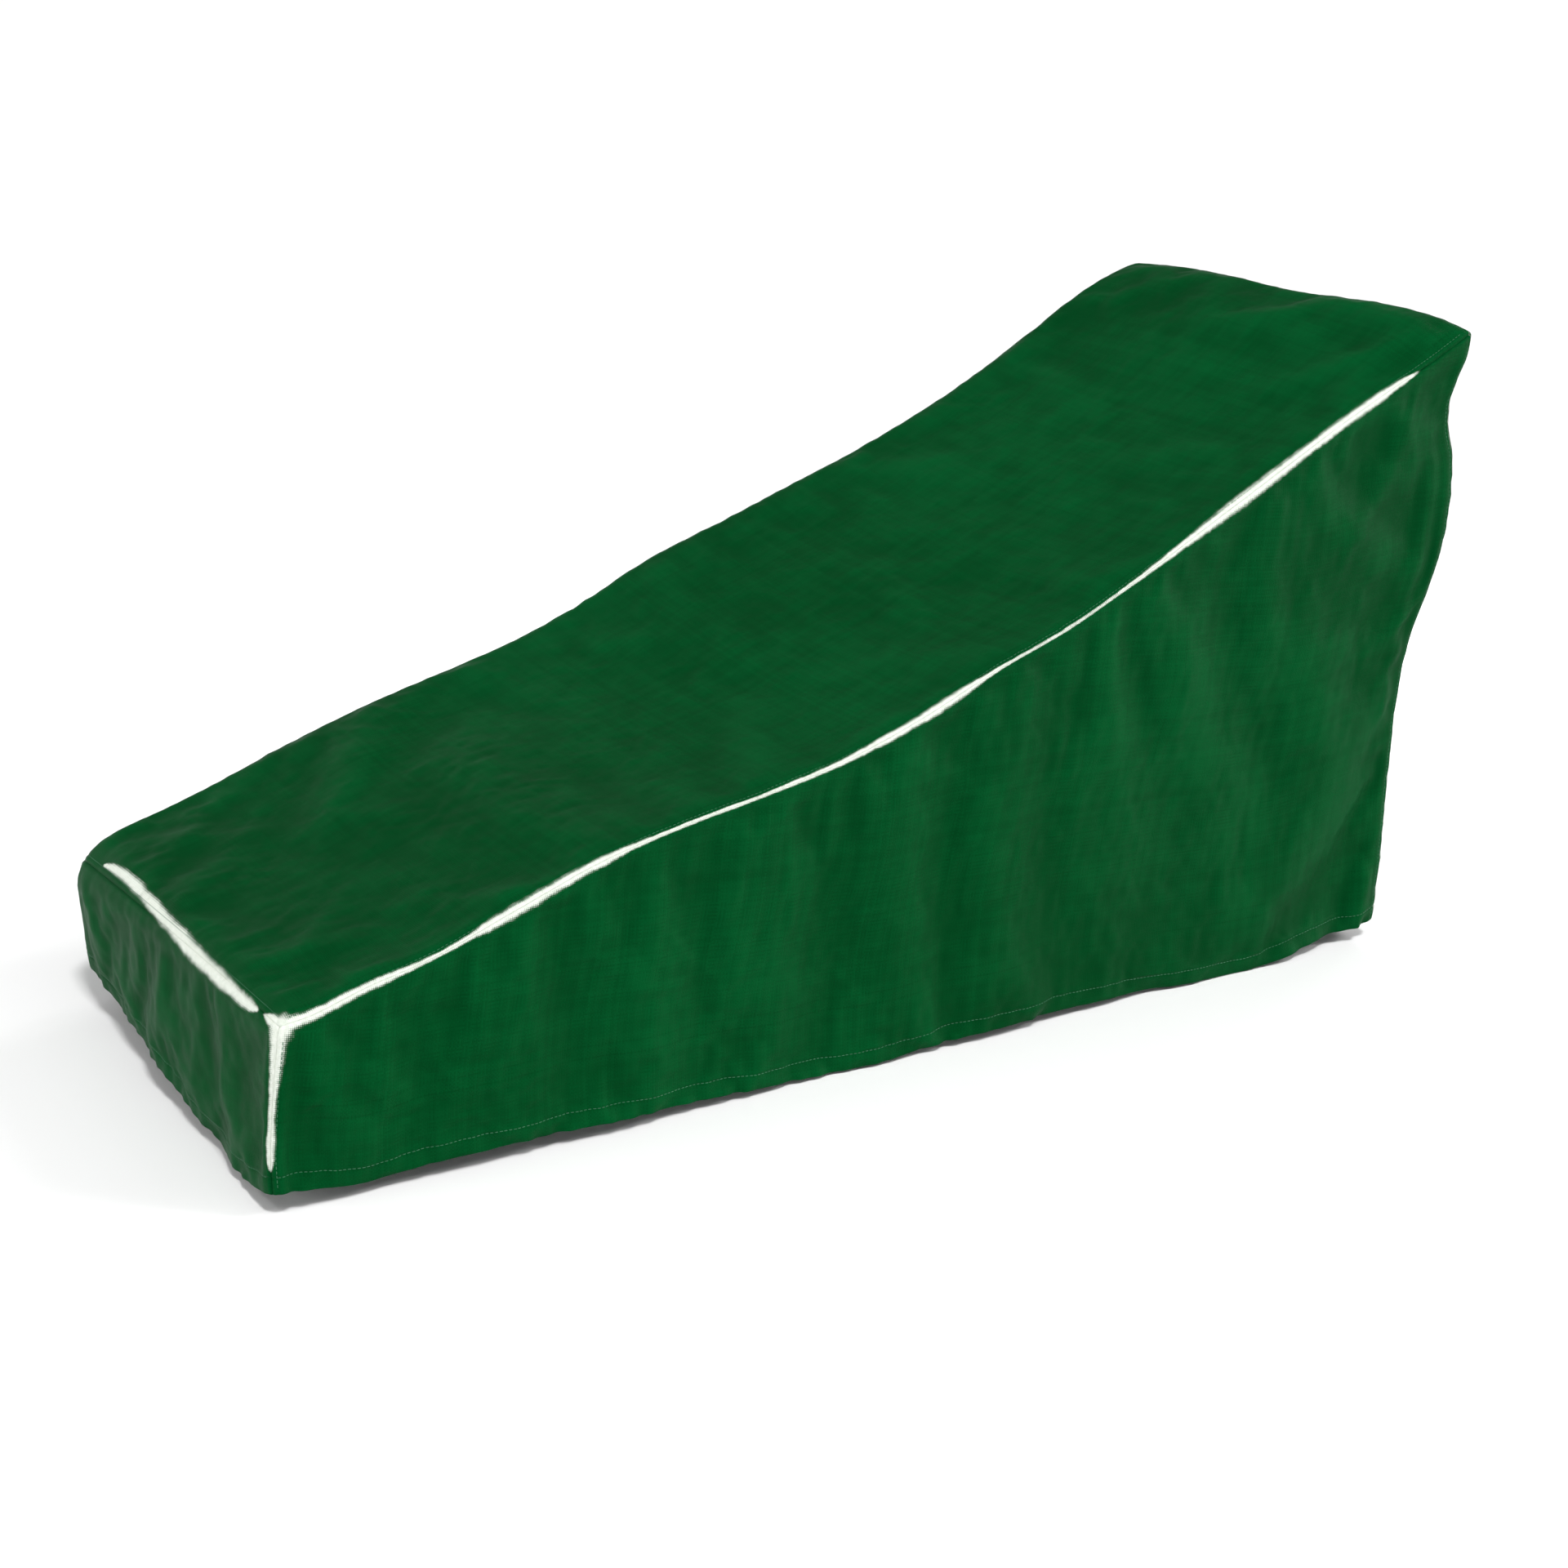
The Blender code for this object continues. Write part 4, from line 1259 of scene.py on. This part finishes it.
# ------------------------------------------------------------ make the cover
NODES = {"top": "top_panel", "near": "side_panel_near", "far": "side_panel_far",
         "foot": "foot_panel", "back": "back_panel"}
OUTSIDE, INSIDE, THREAD = outer_cloth(), inner_cloth(), thread()
for panel, node in NODES.items():
    cloth = panel_mesh("cover_" + panel, panel)
    cloth.data.materials.append(OUTSIDE)
    cloth.data.materials.append(INSIDE)
    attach(cloth, "root")
    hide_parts(node)

for name, rows in (("seam_stitches", seam_rows()), ("hem_stitches", hem_rows())):
    stitches = joined(name, rows)
    stitches.data.materials.append(THREAD)
    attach(stitches, "root")

# -------------------------------------------------------- floor, light, camera
LOW = CAD_BOX[0][2] - 0.0012


def flat_plane(name, x0, x1, y0, y1, z):
    mesh = bpy.data.meshes.new(name)
    mesh.from_pydata([(x0, y0, z), (x1, y0, z), (x1, y1, z), (x0, y1, z)], [], [(0, 1, 2, 3)])
    obj = bpy.data.objects.new(name, mesh)
    bpy.context.scene.collection.objects.link(obj)
    return obj


floor = flat_plane("floor", -60, 300, -60, 400, LOW)
floor.data.materials.append(pale_floor())

world = bpy.data.worlds.new("studio")
bpy.context.scene.world = world
world.use_nodes = True
# a plain pale room: white just above the floor, dimmer overhead
sky = world.node_tree
where = sky.nodes.new("ShaderNodeTexCoord")
height = sky.nodes.new("ShaderNodeSeparateXYZ")
fade = sky.nodes.new("ShaderNodeMapRange")
fade.interpolation_type = "SMOOTHSTEP"
for key, value in (("From Min", 0.04), ("From Max", 0.30), ("To Min", 1.0), ("To Max", 0.22)):
    fade.inputs[key].default_value = value
sky.links.new(where.outputs["Generated"], height.inputs[0])
sky.links.new(height.outputs["Z"], fade.inputs["Value"])
sky.links.new(fade.outputs["Result"], sky.nodes["Background"].inputs["Strength"])
sky.nodes["Background"].inputs["Color"].default_value = (1.0, 1.0, 1.0, 1.0)


def soft_light(name, where, at, size, power, colour=(1, 1, 1)):
    lamp = bpy.data.lights.new(name, "AREA")
    lamp.shape = "RECTANGLE"
    lamp.size, lamp.size_y = size
    lamp.energy = power
    lamp.color = colour
    obj = bpy.data.objects.new(name, lamp)
    bpy.context.scene.collection.objects.link(obj)
    back = (Vector(where) - Vector(at)).normalized()
    right = Vector((1, 0, 0))
    right = (right - back * right.dot(back)).normalized()
    up = back.cross(right)
    turn = Matrix((right, up, back)).transposed().to_4x4()
    obj.matrix_world = Matrix.Translation(Vector(where)) @ turn
    obj.visible_camera = False
    return obj


def sun(name, towards, strength, angle):
    lamp = bpy.data.lights.new(name, "SUN")
    lamp.energy = strength
    lamp.angle = math.radians(angle)
    obj = bpy.data.objects.new(name, lamp)
    bpy.context.scene.collection.objects.link(obj)
    obj.matrix_world = Vector(towards).to_track_quat("Z", "Y").to_matrix().to_4x4()
    return obj


# a high key from the front draws the glint along the near ridge, a low one
# from behind the foot end draws the one along the foot's top edge
soft_light("ridge_strip", (-1.0, -1.75, 2.05), (-0.9, -0.35, -0.4), (3.6, 0.30), 30)
sun("key", (-0.10, -0.52, 0.85), 1.80, 8)
sun("side_key", (0.64, -0.50, 0.58), 0.85, 14)
sun("side_rake", (0.82, -0.50, 0.10), 1.10, 12)
sun("end_fill", (-0.95, 0.14, 0.28), 1.05, 20)
sun("edge_glint", (-0.50, 0.66, 0.56), 0.50, 6)
sun("back_key", (0.76, 0.34, 0.55), 0.20, 8)
soft_light("rear_rake", (0.80, 1.60, -0.34), (-0.10, 0.20, -0.50), (0.5, 0.4), 24)

view = bpy.data.cameras.new("camera")
view.lens = 56.32
view.sensor_fit = "HORIZONTAL"
view.sensor_width = 36.0
camera = bpy.data.objects.new("camera", view)
bpy.context.scene.collection.objects.link(camera)
camera.matrix_world = Matrix((
    (0.84641951, 0.15580163, -0.50921495, -2.67205),
    (-0.53208622, 0.28588306, -0.7969662, -2.82733),
    (0.02140729, 0.945514, 0.3248769, 0.49951),
    (0, 0, 0, 1)))
bpy.context.scene.camera = camera
bpy.context.scene.view_settings.view_transform = "Standard"
bpy.context.scene.view_settings.look = "None"
bpy.context.scene.view_settings.exposure = 0.0

# ---------------------------------------------------------------------- done
bpy.context.view_layer.update()
